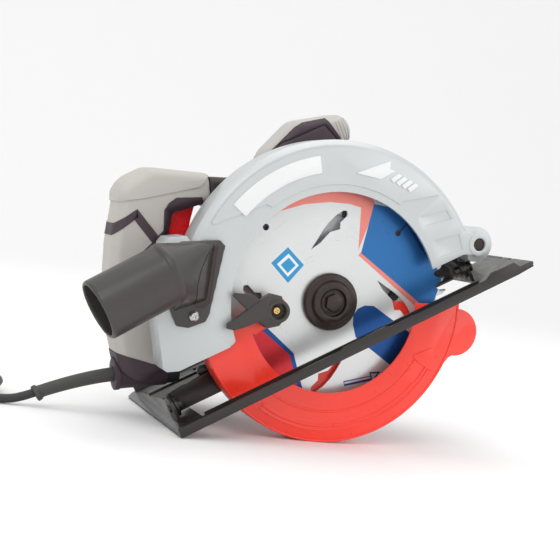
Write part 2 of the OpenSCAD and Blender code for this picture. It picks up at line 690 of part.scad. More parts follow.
module retract_lever() color([0.3, 0.28, 0.27]) in_place() difference() {
    union() {
        along_y(-24, -12.6, 9, lever_xz);
        plate_xz(-23.5, -12.6) polygon([[-57, 22], [-55, 29.5], [-48, 30], [-42.5, 26],
            [-43, 10], [-53, 5.5], [-62, 7.5], [-67, 16]]);
        plate_xz(-24, -19) polygon([[-52, 31], [-57, 30.5], [-90, 23.5], [-91.5, 20.5], [-88, 17.5],
            [-80, 16], [-58, 15]]);
        plate_xz(-23, -19) polygon([[-71, 26], [-78, 42], [-75.5, 43], [-63, 36], [-58, 28]]);
    }
    along_y(-25, -17, 6.4, lever_xz);
    along_y(-18, -12, 2, lever_xz);
}
module lever_screw() color([0.85, 0.72, 0.4]) in_place()
    screw_y(lever_xz, -19.2, 3.6, 2.2, 1.85, 10);

// ---- depth frame ----
module depth_frame_front() color([0.13, 0.12, 0.12]) in_place() difference() {
    union() {
        along_y(10.9, 26, 9, lug_xz);
        plate_xz(10.9, 14) polygon([[116, -22], [116, -4], [134, 3], [134, -15], [124.5, -17.5]]);
        plate_yz(116, 119.8) {
            translate(bevel_yz) circle(8);
            polygon([[-8, -24], [-4, -17], [11, -12], [11, -5], [26, -5],
                [56, -4], [57, -14], [48, -23], [8, -32], [0, -32]]);
        }
        bevel_bolt();
        along_x(111.5, 116, 5.2, bevel_yz);
        along_x(116, 127, 2.95, bevel_yz);
        along_x(124.6, 128, 4.6, bevel_yz);
    }
    along_y(10, 27, 4.02, lug_xz);
}
bolt_yz = bevel_yz + bevel_bolt_r * [cos(bevel_bolt_a), sin(bevel_bolt_a)];
module bevel_bolt() {
    along_x(112.5, 116, 5.2, bolt_yz);
    along_x(116, 134, 2.95, bolt_yz);
}
module depth_frame_rear() color([0.13, 0.12, 0.12]) in_place() difference() {
    union() {
        // slotted arc about the front pivot
        plate_xz(13, 15.6) {
            translate(lug_xz) intersection() {
                ring2d(arm_r + 9, arm_r - 9);
                sector2d(180 - arm_a - depth_travel - 5, 180 - arm_a + 3.6, 260);
            }
            polygon([[-147.6, -30], [-147.6, -17], [-120, -14], [-82, -14], [-61, -22], [-61, -33],
                [-140, -33]]);
        }
        plate_yz(-147.6, -145.4) {
            translate(bevel_yz) circle(8);
            polygon([[0, -16], [15.6, -17], [15.6, -32], [0, -32]]);
        }
    }
    plate_xz(12, 17) translate(lug_xz) {
        intersection() {
            ring2d(arm_r + 3.1, arm_r - 3.1);
            sector2d(180 - arm_a - depth_travel, 180 - arm_a, 260);
        }
        for (a = [0, depth_travel]) rotate(180 - arm_a - a) translate([arm_r, 0]) circle(3.2);
    }
    along_x(-149, -144, 3.02, bevel_yz);
}
module depth_lock_lever() color([0.12, 0.11, 0.11]) in_place() difference() {
    union() {
        along_y(16.2, 17.4, 7, stud_xz);
        along_y(17.4, 24.4, 7.5, stud_xz);
        plate_xz(18.5, 23.5) rounded_bar2d(stud_xz, [-112, -13], 4.5);
    }
    along_y(16, 25, 3.02, stud_xz);
}
module bevel_lock_knob() color([0.12, 0.11, 0.11]) in_place() difference() {
    union() {
        along_x(124.6, 132, 7.5, bolt_yz);
        for (s = [-1, 1]) plate_yz(127, 131.5) translate(bolt_yz) rotate(s * 20)
            rounded_bar2d([0, 0], [0, s * 13], 3.4);
    }
    along_x(124, 133, 3.02, bolt_yz);
}

// ---- shoe ----
module shoe() color([0.16, 0.14, 0.13]) in_place() {
    z0 = -shoe_drop;
    z1 = z0 + shoe_t;
    difference() {
        translate([0, 0, z0]) linear_extrude(shoe_t) difference() {
            polygon([[-shoe_rear, -shoe_near], [146, -shoe_near], [shoe_front, -32],
                [shoe_front, shoe_far - 6], [shoe_front - 6, shoe_far], [6 - shoe_rear, shoe_far],
                [-shoe_rear, shoe_far - 6]]);
            // blade slot
            translate([-134, -20]) square([255, 44]);
            // sight notches at the front edge
            for (y = [0, 14]) translate([shoe_front - 3.5, y - 1]) square([5, 2]);
            // fence window
            translate([149, 36]) square([8, 15]);
        }
        // riveted posts' holes
        for (y = [-8, 8]) translate([-140, y + 60, z0 - 1]) cylinder(h = 4, r = 2);
    }
    // upturned near rail with its raised stretches
    plate_xz(-shoe_near, 2 - shoe_near) polygon([[-shoe_rear, z0], [-shoe_rear, z0 + 7.5],
        [-20, z0 + 7.5], [-16, z0 + 9.5], [22, z0 + 9.5], [26, z0 + 7.5], [118, z0 + 7.5],
        [124, z0 + 11], [146, z0 + 11], [150, z0 + 6], [162, z0 + 5.5], [162, z0 + 1],
        [146, z0]]);
    // far and front edges, turned up a little
    translate([-shoe_rear + 8, shoe_far - 2, z0]) cube([shoe_rear + shoe_front - 16, 2, 6]);
    // stiffening ribs and the fence guides
    for (r = [[-146, -86, 98], [-100, 60, 110], [60, 146, 98]])
        translate([r[0], r[2] - 2.5, z1 - 0.5]) cube([r[1] - r[0], 5, 2.2]);
    translate([-132, -22.5, z1 - 0.5]) cube([252, 2, 3]);
    for (y = [66, 104]) difference() {
        translate([142, y, z1 - 0.5]) cube([18, 8, 9]);
        translate([145, y - 1, z1]) cube([12, 10, 4.4]);
        translate([151, 70, z1]) cylinder(h = 12, r = 2.55);
    }
    // rear pivot ear and its pin
    plate_yz(-151, -148.6) {
        translate(bevel_yz) circle(10);
        translate([-10, z1 - 0.5]) square([20, 10.6]);
    }
    along_x(-152.5, -143, 2.97, bevel_yz);
    along_x(-144.6, -142, 5, bevel_yz);
}
module bevel_bracket() color([0.13, 0.12, 0.12]) in_place() difference() {
    plate_yz(120.4, 123.6) difference() {
        union() {
            translate(bevel_yz) circle(6.5);
            translate([-9, -34]) square([74.5, 8.5]);
            translate(bevel_yz) intersection() {
                ring2d(57, 43);
                sector2d(-6, 68, 60);
            }
        }
        translate(bevel_yz) intersection() {
            ring2d(bevel_bolt_r + 3.1, bevel_bolt_r - 3.1);
            sector2d(bevel_bolt_a, bevel_bolt_a + 45, 60);
        }
        for (a = [0, 45]) translate(bevel_yz) rotate(bevel_bolt_a + a)
            translate([bevel_bolt_r, 0]) circle(3.2);
    }
    along_x(119, 125, 3, bevel_yz);
}
module fence_screw() color([0.12, 0.11, 0.11]) in_place() {
    translate([151, 70, -shoe_drop + 6.2]) cylinder(h = 12, r = 2.5);
    translate([151, 70, -shoe_drop + 14]) cylinder(h = 4, r = 6);
    for (s = [-1, 1]) translate([151, 70, -shoe_drop + 18]) rotate([90, 0, 0])
        translate([0, 0, -1.2]) linear_extrude(2.4) rounded_bar2d([0, 0], [s * 8, 6], 3);
}

// ---- spindle lock ----
module spindle_lock_button() color([0.85, 0.1, 0.1]) in_place() {
    translate([28, 21.5, -0.6]) cube([8, 5, 1.2]);
    along_x(29.5, 40, 2.55, [24, 0]);
    along_x(37, 42, 5, [24, 0]);
}

// ---- lead, coil and plug; these lie on the surface, in its own frame ----
lead_route = [[-185.5, -12, 11.3], [-194, -12, 7.6], [-204, -12, 4.6], [-216, -12, 3.6],
    [-228, -12, 3.6], [-242, -12, 3.6], [-257, -12, 3.6]];
coil_at = [-257, 38.5];
tail_route = [[-257, -12, 10.6], [-272, -12, 10.6], [-288, -12, 10.6], [-304, -12, 11]];
module cord() color([0.12, 0.12, 0.12]) {
    sweep(lead_route, [for (p = lead_route) cord_r]);
    sweep(tail_route, [for (p = tail_route) cord_r]);
}
module cord_coil() color([0.12, 0.12, 0.12]) translate([coil_at[0], coil_at[1], 0])
    rotate_extrude($fn = 96) polygon([[26, 1], [27, 0.1], [53, 0.1], [54, 1], [54, 13.2],
        [53, 14.2], [27, 14.2], [26, 13.2]]);
plug_at = [-304, -12, 11];
module plug_body() color([0.1, 0.1, 0.1]) translate(plug_at) rotate([0, -90, 0]) {
    cylinder(h = 14, r1 = 4.5, r2 = 7);
    translate([0, 0, 14]) cylinder(h = 26, r = 10.9);
}
module plug_pins() color([0.8, 0.8, 0.8]) translate(plug_at)
    for (s = [-1, 1]) translate([-59, s * 9, 0]) rotate([0, 90, 0]) {
        cylinder(h = 18.4, r = 2);
        cylinder(h = 19.5, r = 1.7);
    }

upper_guard();
guard_markings();
gear_case();
bearing_plate();
motor_housing();
motor_end_cap();
stator_core();
field_coils();
brush_holders();
carbon_brushes();
brush_caps();
ball_bearings();
handle_near_shell();
handle_far_shell();
handle_column();
switch_body();
front_handle_core();
front_handle_shell();
dust_port();
dust_port_screw();
guard_circlip();
guard_spring();
guard_bumper();
front_pivot_pin();
depth_lock_stud();
cord_gland();
cord_clamp();
strain_relief();
cord();
cord_coil();
plug_body();
plug_pins();
gear_case_screws();
housing_screws();
blade();
carbide_tips();
outer_flange();
inner_flange();
blade_bolt();
spindle();
driven_gear();
armature_shaft();
pinion();
armature_core();
armature_windings();
commutator();
fan();
lower_guard();
retract_lever();
lever_screw();
depth_frame_front();
depth_frame_rear();
shoe();
bevel_bracket();
depth_lock_lever();
bevel_lock_knob();
fence_screw();
trigger();
lock_off_button();
spindle_lock_button();
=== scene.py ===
"""Looks of a hand-held circular saw: its finishes, grips, guards, printed blade and mains lead."""

import json
import logging
import math
from dataclasses import dataclass
from enum import Enum
from typing import Callable, Sequence

import bpy
from mathutils import Matrix, Vector

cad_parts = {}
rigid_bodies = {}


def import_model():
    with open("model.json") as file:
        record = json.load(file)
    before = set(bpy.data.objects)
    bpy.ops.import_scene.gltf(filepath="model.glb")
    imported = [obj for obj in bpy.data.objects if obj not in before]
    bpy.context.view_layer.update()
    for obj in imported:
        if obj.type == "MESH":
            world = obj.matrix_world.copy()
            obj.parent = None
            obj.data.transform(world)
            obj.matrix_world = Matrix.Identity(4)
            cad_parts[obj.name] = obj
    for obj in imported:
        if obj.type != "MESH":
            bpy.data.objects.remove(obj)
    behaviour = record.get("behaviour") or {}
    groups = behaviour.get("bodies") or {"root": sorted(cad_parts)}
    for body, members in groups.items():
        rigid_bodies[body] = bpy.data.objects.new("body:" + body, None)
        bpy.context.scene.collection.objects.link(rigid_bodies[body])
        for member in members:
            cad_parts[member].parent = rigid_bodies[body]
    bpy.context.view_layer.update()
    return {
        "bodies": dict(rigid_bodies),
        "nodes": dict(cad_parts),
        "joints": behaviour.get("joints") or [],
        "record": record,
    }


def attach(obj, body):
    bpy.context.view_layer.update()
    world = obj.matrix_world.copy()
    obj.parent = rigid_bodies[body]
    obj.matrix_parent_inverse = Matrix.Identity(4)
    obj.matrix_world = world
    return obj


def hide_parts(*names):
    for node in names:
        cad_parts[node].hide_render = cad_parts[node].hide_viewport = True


LOG = logging.getLogger("circular_saw")
MM = 0.001

Colour = tuple[float, float, float]
Point2 = tuple[float, float]
Point3 = tuple[float, float, float]

# Shading.
NOISE_MEAN = 0.5
DRIFT_SPREAD = 4.0      # a cloud noise stays near its mean, so its swing is stretched
EDGE_SHARPNESS = 4000.0  # a printed edge, and the painted shadow's edge, fades over a quarter of a millimetre
BUMP_STRENGTH = 0.35
COAT_ROUGHNESS = 0.08

# Meshing, in millimetres and degrees.
WELD = 0.01
FLAT_WITHIN = 0.6
BEVELLED_FROM = 32.0
BEVEL_SMOOTH = 34.0
BEAD_SMOOTH = 50.0
BEAD_SIDES = 10
BEAD_STEPS = 72
LATHE_STEPS = 36


@dataclass(frozen=True)
class SawFrame:
    """The saw's own frame, in millimetres.

    Its origin is the blade's centre, with X forward, Y to the motor and Z up from the shoe.
    """

    guard_r: float = 111.6
    shoe_rear: float = 159.0
    shoe_drop: float = 36.0
    stand_x: float = 27.8
    stand_y: float = -57.0

    @property
    def tilt(self) -> float:
        """How far the saw's nose is raised, in radians."""
        reach = math.hypot(self.shoe_rear, self.shoe_drop)
        return math.asin(self.guard_r / reach) - math.atan(self.shoe_drop / self.shoe_rear)

    def place(self) -> Matrix:
        """The move from the saw's frame, in millimetres, to the row's frame, in metres."""
        stand = Matrix.Translation((self.stand_x * MM, self.stand_y * MM, self.guard_r * MM))
        return stand @ Matrix.Rotation(-self.tilt, 4, "Y") @ Matrix.Scale(MM, 4)

    def point(self, x: float, y: float, z: float) -> Vector:
        """A point of the saw's frame, in the row's frame."""
        return self.place() @ Vector((x, y, z))

    def turn(self, x: float, y: float, z: float) -> Vector:
        """A direction of the saw's frame, in the row's frame."""
        return (Matrix.Rotation(-self.tilt, 3, "Y") @ Vector((x, y, z))).normalized()


SAW = SawFrame()


class Body(Enum):
    """The CAD bodies that pieces ride on."""

    SAW = "saw_body"
    BLADE = "blade_set"
    ARMATURE = "armature"
    LOWER_GUARD = "lower_guard"
    DEPTH = "depth_frame"
    SHOE = "shoe"
    DEPTH_LEVER = "depth_lock_lever"
    BEVEL_KNOB = "bevel_lock_knob"
    FENCE = "fence_screw"
    TRIGGER = "trigger"
    LOCK_OFF = "lock_off_button"
    SPINDLE_LOCK = "spindle_lock_button"


# ---- shader groups that several finishes share ----

class NodeSheet:
    """A node tree being drawn: adds nodes and links them in short calls."""

    def __init__(self, tree: bpy.types.NodeTree) -> None:
        """Starts on an empty tree.

        Args:
            tree: the material's or the group's node tree.
        """
        self.tree = tree

    def add(self, kind: str, **values: object) -> bpy.types.Node:
        """Adds a node and sets its properties.

        Args:
            kind: the node's type name.
            **values: properties of the node.

        Returns:
            The new node.
        """
        node = self.tree.nodes.new(kind)
        for name, value in values.items():
            setattr(node, name, value)
        return node

    def feed(self, node: bpy.types.Node, **sockets: object) -> bpy.types.Node:
        """Sets or links a node's inputs by name, with underscores for spaces.

        Args:
            node: the node whose inputs are fed.
            **sockets: numbers, colours, or output sockets to link from.

        Returns:
            The same node.
        """
        for name, value in sockets.items():
            socket = node.inputs[int(name[1:])] if name[0] == "i" and name[1:].isdigit() \
                else node.inputs[name.replace("_", " ")]
            if isinstance(value, bpy.types.NodeSocket):
                self.tree.links.new(value, socket)
            else:
                socket.default_value = value
        return node

    def maths(self, operation: str, *terms: object, clamp: bool = False) -> bpy.types.NodeSocket:
        """A Math node on up to three terms.

        Args:
            operation: the node's operation.
            *terms: numbers or sockets.
            clamp: keep the result from 0 to 1.

        Returns:
            The result's socket.
        """
        node = self.add("ShaderNodeMath", operation=operation, use_clamp=clamp)
        self.feed(node, **{f"i{k}": term for k, term in enumerate(terms)})
        return node.outputs[0]

    def blend(self, mask: object, under: object, over: object) -> bpy.types.NodeSocket:
        """Colours mixed by a mask.

        Args:
            mask: 0 shows the first colour and 1 the second.
            under: the first colour.
            over: the second colour.

        Returns:
            The mixed colour's socket.
        """
        node = self.add("ShaderNodeMix", data_type="RGBA")
        self.feed(node, i0=mask, i6=under, i7=over)
        return node.outputs[2]

    def swing(self, noise: object) -> bpy.types.NodeSocket:
        """A noise less its mean, so that it swings about 0."""
        return self.maths("SUBTRACT", noise, NOISE_MEAN)

    def noise(self, vector: object, scale: object, detail: float = 3.0) -> bpy.types.NodeSocket:
        """The factor of a noise texture.

        Args:
            vector: where it is read.
            scale: its scale.
            detail: its octaves.

        Returns:
            The factor's socket.
        """
        node = self.add("ShaderNodeTexNoise")
        self.feed(node, Vector=vector, Scale=scale, Detail=detail)
        return node.outputs["Fac"]


def new_group(name: str, inputs: Sequence[tuple[str, str, object]],
              outputs: Sequence[tuple[str, str]]) -> tuple[bpy.types.NodeTree, NodeSheet]:
    """Makes a shader node group with named sockets.

    Args:
        name: the group's name.
        inputs: each input's name, socket type and default.
        outputs: each output's name and socket type.

    Returns:
        The group and a sheet to draw in it.
    """
    tree = bpy.data.node_groups.new(name, "ShaderNodeTree")
    for label, kind, value in inputs:
        socket = tree.interface.new_socket(name=label, in_out="INPUT", socket_type=kind)
        if value is not None:
            socket.default_value = value
    for label, kind in outputs:
        tree.interface.new_socket(name=label, in_out="OUTPUT", socket_type=kind)
    return tree, NodeSheet(tree)


FLOAT = "NodeSocketFloat"
RGBA = "NodeSocketColor"
VECTOR = "NodeSocketVector"


def moulded_grain_group() -> bpy.types.NodeTree:
    """The fine pebble and faint tone drift of moulded plastic, paint and rubber.

    Returns:
        The group.
    """
    tree, sheet = new_group(
        "moulded_grain",
        [("Vector", VECTOR, None), ("Colour", RGBA, (0.8, 0.8, 0.8, 1)), ("Drift", FLOAT, 0.05),
         ("Grain Scale", FLOAT, 1500.0), ("Roughness", FLOAT, 0.5), ("Unevenness", FLOAT, 0.08)],
        [("Colour", RGBA), ("Roughness", FLOAT), ("Height", FLOAT)])
    given = sheet.add("NodeGroupInput").outputs
    result = sheet.add("NodeGroupOutput")
    cloud = sheet.noise(given["Vector"], 26.0, 4.0)
    fine = sheet.noise(given["Vector"], given["Grain Scale"], 2.0)
    patch = sheet.noise(given["Vector"], 90.0, 5.0)
    lift = sheet.maths("MULTIPLY", sheet.swing(cloud), given["Drift"])
    lift = sheet.maths("MULTIPLY_ADD", lift, DRIFT_SPREAD, 1.0)
    speck = sheet.maths("MULTIPLY_ADD", sheet.swing(fine), given["Drift"], lift)
    tone = sheet.add("ShaderNodeVectorMath", operation="SCALE")
    sheet.feed(tone, i0=given["Colour"], Scale=speck)
    uneven = sheet.maths("MULTIPLY", sheet.swing(patch), given["Unevenness"])
    rough = sheet.maths("MULTIPLY_ADD", uneven, DRIFT_SPREAD, given["Roughness"], clamp=True)
    sheet.feed(result, Colour=tone.outputs[0], Roughness=rough, Height=fine)
    return tree


def brushed_metal_group() -> bpy.types.NodeTree:
    """Ground or turned metal: fine lines along stretched coordinates, and faint handling stains.

    Returns:
        The group.
    """
    tree, sheet = new_group(
        "brushed_metal",
        [("Vector", VECTOR, None), ("Lines", VECTOR, None), ("Colour", RGBA, (0.8, 0.8, 0.8, 1)),
         ("Contrast", FLOAT, 0.1), ("Roughness", FLOAT, 0.3)],
        [("Colour", RGBA), ("Roughness", FLOAT), ("Height", FLOAT)])
    line_gloss, stain_gloss = 0.14, 0.2
    given = sheet.add("NodeGroupInput").outputs
    result = sheet.add("NodeGroupOutput")
    lines = sheet.noise(given["Lines"], 1.0, 4.0)
    stain = sheet.noise(given["Vector"], 38.0, 5.0)
    line_swing, stain_swing = sheet.swing(lines), sheet.swing(stain)
    tone = sheet.maths("MULTIPLY_ADD", line_swing, given["Contrast"], 1.0)
    drift = sheet.maths("MULTIPLY_ADD", stain_swing, given["Contrast"], tone)
    colour = sheet.add("ShaderNodeVectorMath", operation="SCALE")
    sheet.feed(colour, i0=given["Colour"], Scale=drift)
    rough = sheet.maths("MULTIPLY_ADD", line_swing, line_gloss, given["Roughness"])
    rough = sheet.maths("MULTIPLY_ADD", stain_swing, stain_gloss, rough, clamp=True)
    sheet.feed(result, Colour=colour.outputs[0], Roughness=rough, Height=lines)
    return tree


def handling_wear_group() -> bpy.types.NodeTree:
    """Fine rubbed scratches and dust: short stretched streaks that thin the finish.

    Returns:
        The group.
    """
    tree, sheet = new_group(
        "handling_wear",
        [("Vector", VECTOR, None), ("Colour", RGBA, (0.8, 0.8, 0.8, 1)), ("Roughness", FLOAT, 0.5),
         ("Worn Colour", RGBA, (0.6, 0.6, 0.6, 1)), ("Worn Roughness", FLOAT, 0.5),
         ("Amount", FLOAT, 0.3)],
        [("Colour", RGBA), ("Roughness", FLOAT), ("Mask", FLOAT)])
    given = sheet.add("NodeGroupInput").outputs
    result = sheet.add("NodeGroupOutput")
    streaks = []
    stretches = ((900.0, 120.0, 40.0), (60.0, 200.0, 1100.0))
    streak_floor, streak_gain = 0.66, 9.0
    place_floor, place_gain = 0.45, 5.0
    for k, stretch in enumerate(stretches):
        turned = sheet.add("ShaderNodeMapping")
        sheet.feed(turned, Vector=given["Vector"], Rotation=(0.4 * k, 0.7 - k, 0.3), Scale=stretch)
        streaks.append(sheet.noise(turned.outputs[0], 1.0, 2.0))
    where = sheet.noise(given["Vector"], 55.0, 3.0)
    both = sheet.maths("MAXIMUM", *streaks)
    sharp = sheet.maths("SUBTRACT", both, streak_floor)
    sharp = sheet.maths("MULTIPLY", sharp, streak_gain, clamp=True)
    here = sheet.maths("SUBTRACT", where, place_floor)
    here = sheet.maths("MULTIPLY", here, place_gain, clamp=True)
    mask = sheet.maths("MULTIPLY", sheet.maths("MULTIPLY", sharp, here), given["Amount"], clamp=True)
    colour = sheet.blend(mask, given["Colour"], given["Worn Colour"])
    rough = sheet.add("ShaderNodeMix", data_type="FLOAT")
    sheet.feed(rough, i0=mask, i2=given["Roughness"], i3=given["Worn Roughness"])
    sheet.feed(result, Colour=colour, Roughness=rough.outputs[0], Mask=mask)
    return tree


def edge_mask_group() -> bpy.types.NodeTree:
    """One straight edge of a printed or moulded patch or of a painted shadow: 1 on its inner side, 0
    outside.

    Returns:
        The group.
    """
    tree, sheet = new_group(
        "patch_edge", [("Vector", VECTOR, None), ("Inward", VECTOR, None), ("Offset", FLOAT, 0.0)],
        [("Mask", FLOAT)])
    given = sheet.add("NodeGroupInput").outputs
    result = sheet.add("NodeGroupOutput")
    reach = sheet.add("ShaderNodeVectorMath", operation="DOT_PRODUCT")
    sheet.feed(reach, i0=given["Vector"], i1=given["Inward"])
    gap = sheet.maths("SUBTRACT", reach.outputs["Value"], given["Offset"])
    sheet.feed(result, Mask=sheet.maths("MULTIPLY_ADD", gap, EDGE_SHARPNESS, 0.5, clamp=True))
    return tree


class Groups:
    """The shader groups, each built once."""

    made: dict[str, bpy.types.NodeTree] = {}
    makers: dict[str, Callable[[], bpy.types.NodeTree]] = {
        "grain": moulded_grain_group, "brushed": brushed_metal_group,
        "wear": handling_wear_group, "edge": edge_mask_group}

    @classmethod
    def node(cls, sheet: NodeSheet, name: str) -> bpy.types.Node:
        """Places a group in a material.

        Args:
            sheet: the material's sheet.
            name: which group.

        Returns:
            The group's node.
        """
        if name not in cls.made:
            cls.made[name] = cls.makers[name]()
        node = sheet.add("ShaderNodeGroup")
        node.node_tree = cls.made[name]
        return node


# ---- finishes ----

def saw_coordinates(sheet: NodeSheet) -> bpy.types.NodeSocket:
    """Object coordinates turned into the saw's own frame, in metres.

    Args:
        sheet: the material's sheet.

    Returns:
        The vector's socket.
    """
    where = sheet.add("ShaderNodeTexCoord")
    back = Matrix.Rotation(SAW.tilt, 3, "Y")
    origin = back @ Vector((SAW.stand_x, SAW.stand_y, SAW.guard_r)) * -MM
    turned = sheet.add("ShaderNodeMapping")
    sheet.feed(turned, Vector=where.outputs["Object"], Location=tuple(origin),
               Rotation=(0.0, SAW.tilt, 0.0))
    return turned.outputs[0]


class Lay(Enum):
    """How a metal's lines run."""

    TURNED = "round an axis along Y"
    ALONG = "along X"
    NONE = "no lines"


def inward_edges(outline: Sequence[Point2]) -> list[tuple[Vector, Vector]]:
    """The edges of a convex outline.

    Args:
        outline: its corners.

    Returns:
        For each edge, its first corner and the direction across it to the inside.
    """
    middle = Vector((sum(p[0] for p in outline), sum(p[1] for p in outline))) / len(outline)
    edges = []
    for k, start in enumerate(outline):
        a, b = Vector(start), Vector(outline[(k + 1) % len(outline)])
        inward = Vector((a.y - b.y, b.x - a.x)).normalized()
        if inward.dot(middle - a) < 0:
            inward.negate()
        edges.append((a, inward))
    return edges


@dataclass(frozen=True)
class Patch:
    """A printed or moulded patch, or a painted shadow: a convex outline in the saw's X and Z, in
    millimetres.
    """

    outline: tuple[Point2, ...]
    colour: Colour

    def mask(self, sheet: NodeSheet, where: bpy.types.NodeSocket) -> bpy.types.NodeSocket:
        """A mask that is 1 inside the outline.

        Args:
            sheet: the material's sheet.
            where: the saw's coordinates.

        Returns:
            The mask's socket.
        """
        inside = None
        for corner, inward in inward_edges(self.outline):
            edge = Groups.node(sheet, "edge")
            sheet.feed(edge, Vector=where, Inward=(inward.x, 0.0, inward.y),
                       Offset=inward.dot(corner) * MM)
            inside = edge.outputs[0] if inside is None \
                else sheet.maths("MULTIPLY", inside, edge.outputs[0])
        return inside


@dataclass(frozen=True)
class Finish:
    """A surface finish and its procedural material."""

    name: str
    slot: str
    colour: Colour
    roughness: float = 0.5
    metallic: float = 0.0
    coat: float = 0.0
    grain_scale: float = 1500.0
    grain_depth: float = 0.05
    drift: float = 0.03
    unevenness: float = 0.05
    wear: float = 0.2
    worn: Colour = (0.6, 0.6, 0.6)
    worn_roughness: float = 0.45
    lay: Lay = Lay.NONE
    line_scale: Point3 = (60.0, 1500.0, 1500.0)
    turned_scale: Point3 = (2600.0, 2.0, 1500.0)
    patches: tuple[Patch, ...] = ()

    def lines(self, sheet: NodeSheet, where: bpy.types.NodeSocket) -> bpy.types.NodeSocket:
        """Coordinates stretched along the metal's lines.

        Args:
            sheet: the material's sheet.
            where: the saw's coordinates.

        Returns:
            The stretched vector's socket.
        """
        if self.lay is Lay.ALONG:
            stretched = sheet.add("ShaderNodeMapping")
            sheet.feed(stretched, Vector=where, Scale=self.line_scale)
            return stretched.outputs[0]
        parts = sheet.add("ShaderNodeSeparateXYZ")
        sheet.feed(parts, i0=where)
        x, y, z = parts.outputs
        radius = sheet.maths("SQRT", sheet.maths(
            "ADD", sheet.maths("MULTIPLY", x, x), sheet.maths("MULTIPLY", z, z)))
        angle = sheet.maths("ARCTAN2", z, x)
        joined = sheet.add("ShaderNodeCombineXYZ")
        scaled = [sheet.maths("MULTIPLY", part, scale)
                  for part, scale in zip((radius, angle, y), self.turned_scale)]
        sheet.feed(joined, i0=scaled[0], i1=scaled[1], i2=scaled[2])
        return joined.outputs[0]

    def material(self) -> bpy.types.Material:
        """Builds the material once, and returns it after that.

        Returns:
            The material.
        """
        label = f"{self.name}_finish"
        made = bpy.data.materials.get(label)
        if made:
            return made
        made = bpy.data.materials.new(label)
        made.use_nodes = True
        made.diffuse_color = (*self.colour, 1.0)
        sheet = NodeSheet(made.node_tree)
        shader = made.node_tree.nodes["Principled BSDF"]
        shader.inputs["Metallic"].default_value = self.metallic
        shader.inputs["Coat Weight"].default_value = self.coat
        shader.inputs["Coat Roughness"].default_value = COAT_ROUGHNESS
        where = saw_coordinates(sheet)
        colour: object = (*self.colour, 1.0)
        for patch in self.patches:
            colour = sheet.blend(patch.mask(sheet, where), colour, (*patch.colour, 1.0))
        if self.lay is Lay.NONE:
            base = Groups.node(sheet, "grain")
            sheet.feed(base, Vector=where, Colour=colour, Drift=self.drift,
                       Grain_Scale=self.grain_scale, Roughness=self.roughness,
                       Unevenness=self.unevenness)
        else:
            base = Groups.node(sheet, "brushed")
            sheet.feed(base, Vector=where, Lines=self.lines(sheet, where), Colour=colour,
                       Contrast=self.drift, Roughness=self.roughness)
        worn = Groups.node(sheet, "wear")
        sheet.feed(worn, Vector=where, Colour=base.outputs["Colour"],
                   Roughness=base.outputs["Roughness"], Worn_Colour=(*self.worn, 1.0),
                   Worn_Roughness=self.worn_roughness, Amount=self.wear)
        bump = sheet.add("ShaderNodeBump")
        sheet.feed(bump, Height=base.outputs["Height"], Strength=BUMP_STRENGTH,
                   Distance=self.grain_depth * MM)
        sheet.feed(shader, Base_Color=worn.outputs["Colour"],
                   Roughness=worn.outputs["Roughness"], Normal=bump.outputs[0])
        return made


SILVER_PAINT = Finish("silver_paint", "guard_alloy", (0.53, 0.555, 0.555), 0.38, metallic=0.35,
                      coat=0.1, grain_scale=900.0, grain_depth=0.06, drift=0.02, wear=0.12,
                      worn=(0.5, 0.51, 0.52))
WHITE_MARK = Finish("white_mark", "mark_white", (0.74, 0.75, 0.75), 0.4, wear=0.25,
                    worn=(0.62, 0.64, 0.64))
CAST_ALLOY = Finish("cast_alloy", "case_alloy", (0.55, 0.56, 0.56), 0.45, metallic=0.8,
                    grain_scale=700.0, grain_depth=0.1, drift=0.05, worn=(0.4, 0.4, 0.41))
MACHINED_ALLOY = Finish("machined_alloy", "plate_alloy", (0.6, 0.61, 0.62), 0.35, metallic=1.0,
                        drift=0.12, lay=Lay.TURNED)
HOUSING_GREY = Finish("housing_grey", "housing_grey", (0.47, 0.455, 0.43), 0.55,
                      grain_scale=1400.0, grain_depth=0.12, wear=0.1, worn=(0.5, 0.49, 0.47))
CAP_DARK = Finish("cap_dark", "cap_dark", (0.055, 0.045, 0.052), grain_scale=1400.0,
                  grain_depth=0.12, worn=(0.12, 0.11, 0.12))
LAMINATION = Finish("lamination_steel", "lamination", (0.4, 0.4, 0.42), 0.4, metallic=0.9,
                    drift=0.25, lay=Lay.ALONG)
WINDING = Finish("winding_copper", "winding", (0.55, 0.22, 0.08), 0.3, metallic=0.8, drift=0.3,
                 lay=Lay.TURNED, coat=0.4)
HOLDER_DARK = Finish("holder_dark", "holder_dark", (0.06, 0.05, 0.045))
CARBON = Finish("brush_carbon", "carbon", (0.025, 0.025, 0.026), 0.6, grain_depth=0.15)
BEARING_STEEL = Finish("bearing_steel", "bearing_steel", (0.6, 0.61, 0.63), 0.15, metallic=1.0,
                       drift=0.05, lay=Lay.TURNED, wear=0.05)
GRIP_GREY = Finish("grip_grey", "grip_grey", (0.47, 0.45, 0.42), 0.55, grain_scale=1300.0,
                   grain_depth=0.16, wear=0.08, worn=(0.5, 0.48, 0.45))
GRIP_DARK = Finish("grip_dark", "grip_dark", (0.05, 0.032, 0.042), 0.62, grain_scale=1700.0,
                   grain_depth=0.12, drift=0.05, wear=0.15, worn=(0.13, 0.11, 0.12))
COLUMN_BLACK = Finish("column_black", "column_black", (0.022, 0.018, 0.018), grain_depth=0.1,
                      worn=(0.06, 0.055, 0.055))
SWITCH_BLACK = Finish("switch_black", "switch_black", (0.02, 0.02, 0.022), 0.45)
PORT_CHARCOAL = Finish("port_charcoal", "port_charcoal", (0.04, 0.034, 0.033), 0.42, coat=0.1,
                       grain_depth=0.1, drift=0.06, wear=0.25, worn=(0.13, 0.12, 0.12))
FACET_BROWN = Finish("facet_brown", "port_charcoal", (0.022, 0.0125, 0.0095), 0.3, coat=0.1,
                     grain_depth=0.06, drift=0.05, wear=0.15, worn=(0.06, 0.045, 0.04))
